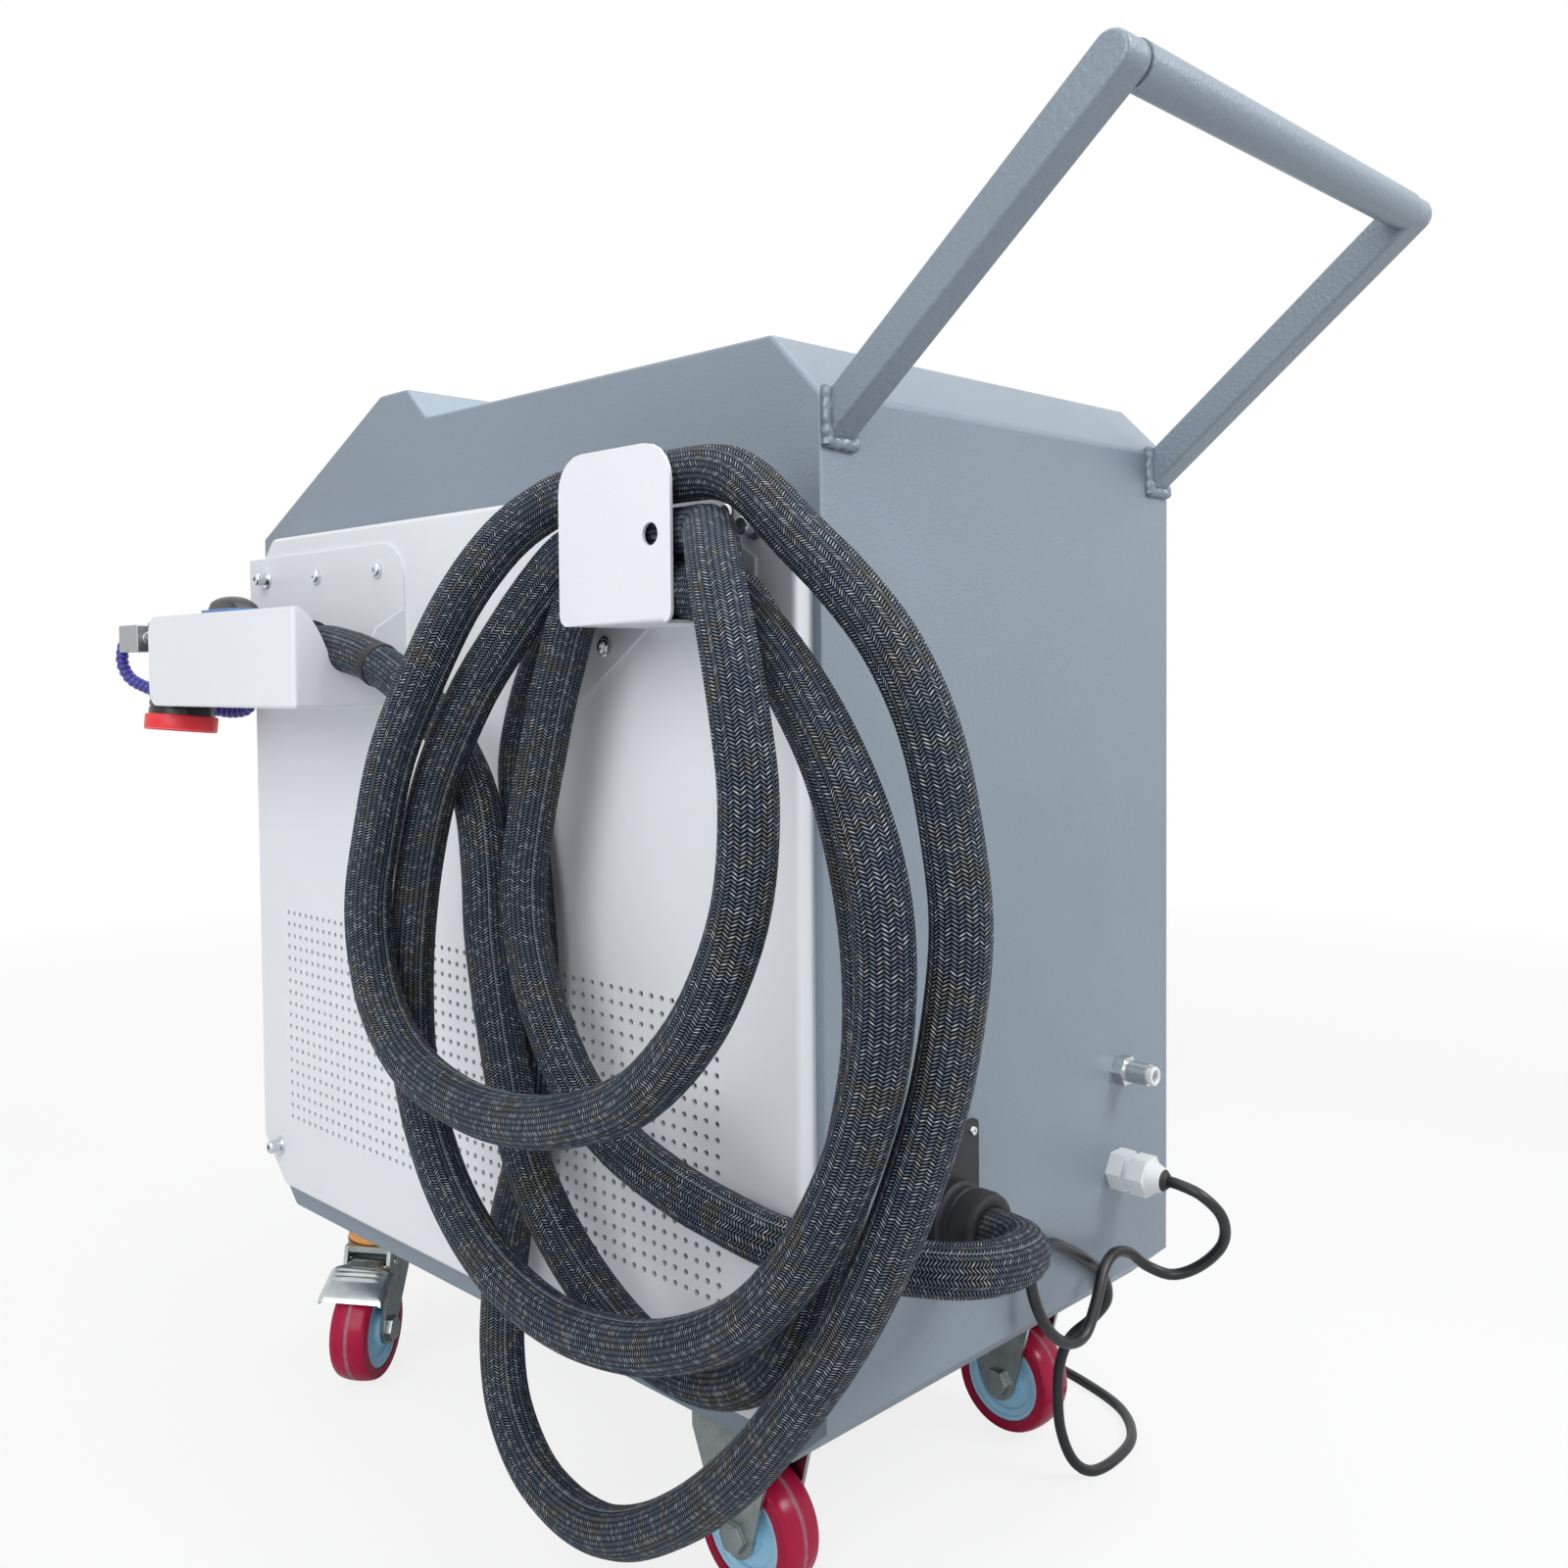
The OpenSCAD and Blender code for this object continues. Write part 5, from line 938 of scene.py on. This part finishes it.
for name, place, turn in wheels:
    at_wheel = (Matrix.Translation(place + Vector((0, 0, wheel_z))) @ Matrix.Rotation(
        math.radians(turn), 4, "Z") @ Matrix.Rotation(math.pi / 2, 4, "X"))
    for shape, kind, slot, finish in ((tyre, "tyre", "red_tyre", polyurethane),
                                      (hub, "hub", "blue_hub", sky_nylon)):
        wheel = copied(shape, at_wheel, f"{kind}_turned_{name}")
        settle(wheel, slot, finish, f"{kind}_{name}", body=f"wheel_{name}")
for used in (tyre, hub):
    bpy.data.objects.remove(used)


# Brake pedals: pressed plates with a tongue on the pin, three stiffening creases and a
# rolled lip, bent down over the tread.
pedal_line = smooth_line([Vector((u, 0, v)) / 1000 for u, v in (
    (22, -33.5), (28, -32.6), (35, -33.2), (46, -39), (57, -45), (65, -49.4), (69.3, -52.2),
    (71.6, -55.6))], 0.0011)
pick()
bpy.ops.mesh.primitive_grid_add(x_subdivisions=len(pedal_line) - 1, y_subdivisions=24, size=1)
pedal = bpy.context.object
pedal.name = "pedal"
for point in pedal.data.vertices:
    k = round((point.co.x + 0.5) * (len(pedal_line) - 1))
    place = pedal_line[k]
    widen = min(max((place.x - 0.0385) / 0.006, 0), 1)
    half = 0.0158 + 0.0122 * widen * widen * (3 - 2 * widen)
    across = point.co.y * 2 * half
    crease = sum(math.exp(-((place.x - 0.0445 - 0.0042 * i) / 0.0011) ** 2) for i in range(3))
    crease *= 0.0009 * max(0, 1 - (abs(across) / 0.0215) ** 8)
    edge = max(0, abs(across) - (half - 0.003)) / 0.003
    point.co = Vector((place.x, across, place.z + crease - 0.0016 * edge * edge))
pedal.data.update()
applied(pedal, "SOLIDIFY", thickness=0.0022, offset=0)
break_edges(pedal, 0.0006, 2, 40)
pin_place = (0.024, 0, -0.036)
sleeve = lathe("pedal_sleeve", [
    (0, -16.5), (5, -16.5), (5.5, -16), (5.5, 16), (5, 16.5), (0, 16.5)], 32, pin_place, "Y")
pin = lathe("pedal_pin", [
    (0, -22.4), (2.6, -22.4), (3, -21.8), (3, 21.8), (2.6, 22.4), (0, 22.4)], 24, pin_place, "Y")
pedal = joined("pedal", pedal, sleeve, pin)
pedal_zinc = plated("pedal_zinc", "d3d9da", "adb4b6", 0.16, 0.01)
for side, place, turn in swivels:
    lever = copied(pedal, Matrix.Translation(place + Vector((0, 0, 0.133)))
                   @ Matrix.Rotation(math.radians(turn), 4, "Z"), f"foot_pedal_{side}")
    settle(lever, "zinc", pedal_zinc, f"brake_pedal_{side}", body=f"pedal_{side}")
bpy.data.objects.remove(pedal)


# Controls on the slope: a touch screen behind dark glass in a moulded frame.
def onto_slope(piece, x, v):
    """Lays a piece that was made flat at the origin onto the sloped front of the cabinet."""
    slope = math.atan2(0.100, 0.2015)
    piece.data.transform(Matrix.Translation((x, -0.23775, 0.783))
                         @ Matrix.Rotation(slope, 4, "X") @ Matrix.Translation((0, v, 0)))
    piece.data.update()


dark_mould = mottled("dark_moulding", "2a2c30", 0.44, 0.14, 0.01, 0.0005, 0.00012)
dressed("screen_bezel", "screen_frame", "dark_plastic", dark_mould, 0.0011, 3, 30)
dark_glass = mottled("dark_glass", "10141a 161b23", 0.08, 0.05, 0.03, spot=0.08,
                     Coat_Weight=1.0, Coat_Roughness=0.03)
x, y, z = dark_glass.parts(dark_glass.place())
margin = (abs(x + 0.07) > 0.070) + (abs(y + 0.2378) > 0.0335)
dark_glass.set(Base_Color=dark_glass.between(margin.held(), dark_glass.colour, paint("060708")))
dressed("screen_glass", "screen_cover_glass", "screen_glass", dark_glass, 0.0004, 2, 35)

# Emergency button: a red mushroom head with a finger groove over a yellow collar.
head = lathe("stop_button_head", [
    (0, -16), (5, -16), (5, 17), (15.5, 17), (17.2, 17.8), (19.5, 19.6), (20, 21.2), (20, 23.8),
    (19.2, 25.8), (17.2, 27.4), (14, 28), (12.8, 27.7), (11.8, 28), (6, 28.9), (0, 29)], 56)
control_x, button_v, lamp_v = 0.110, 0.050, -0.060
onto_slope(head, control_x, button_v)
red_gloss = mottled("stop_red", "cf1c24 bd141c", 0.3, 0.12, 0.006, Coat_Weight=0.3,
                    Coat_Roughness=0.15)
settle(head, "red_plastic", red_gloss, "estop_button", body="stop_button")
collar = lathe("stop_button_collar", [
    (5.1, -29), (11, -29), (11, 0), (28.2, 0), (29, 0.8), (29, 2.2), (28, 3), (17.2, 3.2),
    (15, 4.5), (15, 11.2), (14.3, 12), (5.1, 12), (5.1, -29)], 56)
onto_slope(collar, control_x, button_v)
yellow = mottled("collar_yellow", "f2c21a e8b611", 0.36, 0.14, 0.006, 0.0008, 0.00006)
settle(collar, "yellow_plastic", yellow, "estop_collar")

# Key switch and power lamp: turned bezels, a flat key, and a ribbed green lens.
dressed("key_switch_body", "key_switch_bezel", "dark_plastic", dark_mould, 0.0007)
dressed("key", "flat_key", "bright_steel", nickel, 0.0005, body="key_turn")
lamp_bezel = lathe("lamp_bezel", [
    (0, -34), (9.5, -34), (9.5, 0), (13.3, 0), (14, 0.8), (14, 4), (13.2, 5), (10.8, 5),
    (10.4, 4.2), (0, 4.2)], 48)
onto_slope(lamp_bezel, control_x, lamp_v)
settle(lamp_bezel, "bright_steel", nickel)
lens_cup = lathe("lamp_lens", [
    (0, 3), (10, 4), (10, 6.2), (8.8, 9.4), (7.8, 10.7), (6.6, 11.3), (6.2, 10.8), (5, 11.6),
    (4.6, 11.1), (3.4, 11.9), (3, 11.4), (1.6, 12), (0, 12)], 48)
onto_slope(lens_cup, control_x, lamp_v)
green = mottled("green_lens", "1f9a4a 18853e", 0.16, 0.1, 0.004, spot=0.01,
                Transmission_Weight=0.25, Coat_Weight=0.4)
settle(lens_cup, "green_lens", green, "power_lamp")


# Inside: a zinc-plated floor plate, the finned laser source, the slotted power supply, the
# control board on its posts, and the fan that blows out through the far side.
brushed = plated("brushed_plate", "c6c9cc", "adb1b5", 0.32, 0.03)
for name, width, finish, slot in (("base_plate", 0.0004, zinc, "zinc"),
                                  ("laser_source", 0.0009, grey_alloy, "grey_aluminium"),
                                  ("power_supply", 0.0006, brushed, "grey_aluminium")):
    dressed(name, name + "_inside", slot, finish, width, 2, 35)
solder_mask = Finish("board_finish")
x, y, z = solder_mask.parts(solder_mask.place())
lines = ((x / 0.0032 % 1) > 0.72) * ((y / 0.019 % 1) > 0.25)
tracks = solder_mask.between(lines, paint("0f5a35"), paint("1b7a49"))
solder_mask.set(Base_Color=solder_mask.between(z > 0.1468, tracks, paint("2b2f36")),
                Roughness=0.34 + solder_mask.grain(0.01) * 0.2)
dressed("control_board", "board_with_parts", "board_green", solder_mask, 0.0003, 1, 35)
for name, body in (("fan_frame", "cabinet"), ("fan_rotor", "fan")):
    dressed(name, "cooling_" + name, "dark_plastic", dark_mould, 0.0005, 2, 35, body)


# Stage: a plain pale floor. Its white is seen by the camera and in gloss, and the light
# that falls on it stays at a plain level, so that it keeps the machine's shadow.
pick()
bpy.ops.mesh.primitive_grid_add(x_subdivisions=24, y_subdivisions=24, size=30)
floor = bpy.context.object
floor.name = "floor"
floor_finish = Finish("pale_floor", Roughness=0.9)
floor_finish.set(Base_Color=floor_finish.between(floor_finish.grain(0.5), paint("dcdee1"),
                                                 paint("e2e3e5")))
# The camera sees white in place of a share of the floor's colour, and of all of it far from
# the machine; gloss and glass see white where the floor is clear of it.
white_share = 0.82
rays = floor_finish.add("LightPath", {}, {})
away = floor_finish.add("VectorMath", {"operation": "LENGTH"}, {0: floor_finish.place()})["Value"]
mirrored = (rays["Is Glossy Ray"] + rays["Is Transmission Ray"]) * (away - 0.5).held()
seen = rays["Is Camera Ray"] * ((away * 0.6 - 0.75).held() * (1 - white_share) + white_share)
white = floor_finish.add("Emission", {}, {"Color": (1, 1, 1, 1), "Strength": 1.0})[0]
plain = Wire(floor_finish, floor_finish.shader.outputs[0])
both = floor_finish.add("MixShader", {}, {0: (seen + mirrored).held(), 1: plain, 2: white})[0]
floor_finish.feed(floor_finish.tree.nodes["Material Output"].inputs["Surface"], both)
floor.data.materials.append(floor_finish.material)

# World and lamps: an even pale surround, a broad soft lamp on the hose side, a lower one
# at the rear and one overhead.
world = bpy.data.worlds.new("studio")
bpy.context.scene.world = world
world.use_nodes = True
sky = Nodes(world.node_tree)
rays = sky.add("LightPath", {}, {})
seen = (rays["Is Camera Ray"] + rays["Is Glossy Ray"] + rays["Is Transmission Ray"]).held()
lit, shown = 0.42, 1.0
background = sky.tree.nodes["Background"]
background.inputs["Color"].default_value = (1, 1, 1, 1)
sky.feed(background.inputs["Strength"], seen * (shown - lit) + lit)
for name, place, aim, size, power in (
        ("key", (2.4, 1.0, 1.9), (0.1, 0, 0.45), 2.2, 52),
        ("rear", (-0.7, 1.9, 1.9), (-0.1, 0.33, 0.95), 0.9, 7),
        ("top", (-0.2, 0.1, 3.0), (0, 0, 0.5), 2.4, 36)):
    lamp = bpy.data.objects.new(name, bpy.data.lights.new(name, "AREA"))
    lamp.data.size, lamp.data.energy = size, power
    lamp.data.spread = math.radians(75 if name == "rear" else 180)
    lamp.location = place
    lamp.rotation_euler = (Vector(aim) - Vector(place)).to_track_quat("-Z", "Y").to_euler()
    bpy.context.scene.collection.objects.link(lamp)
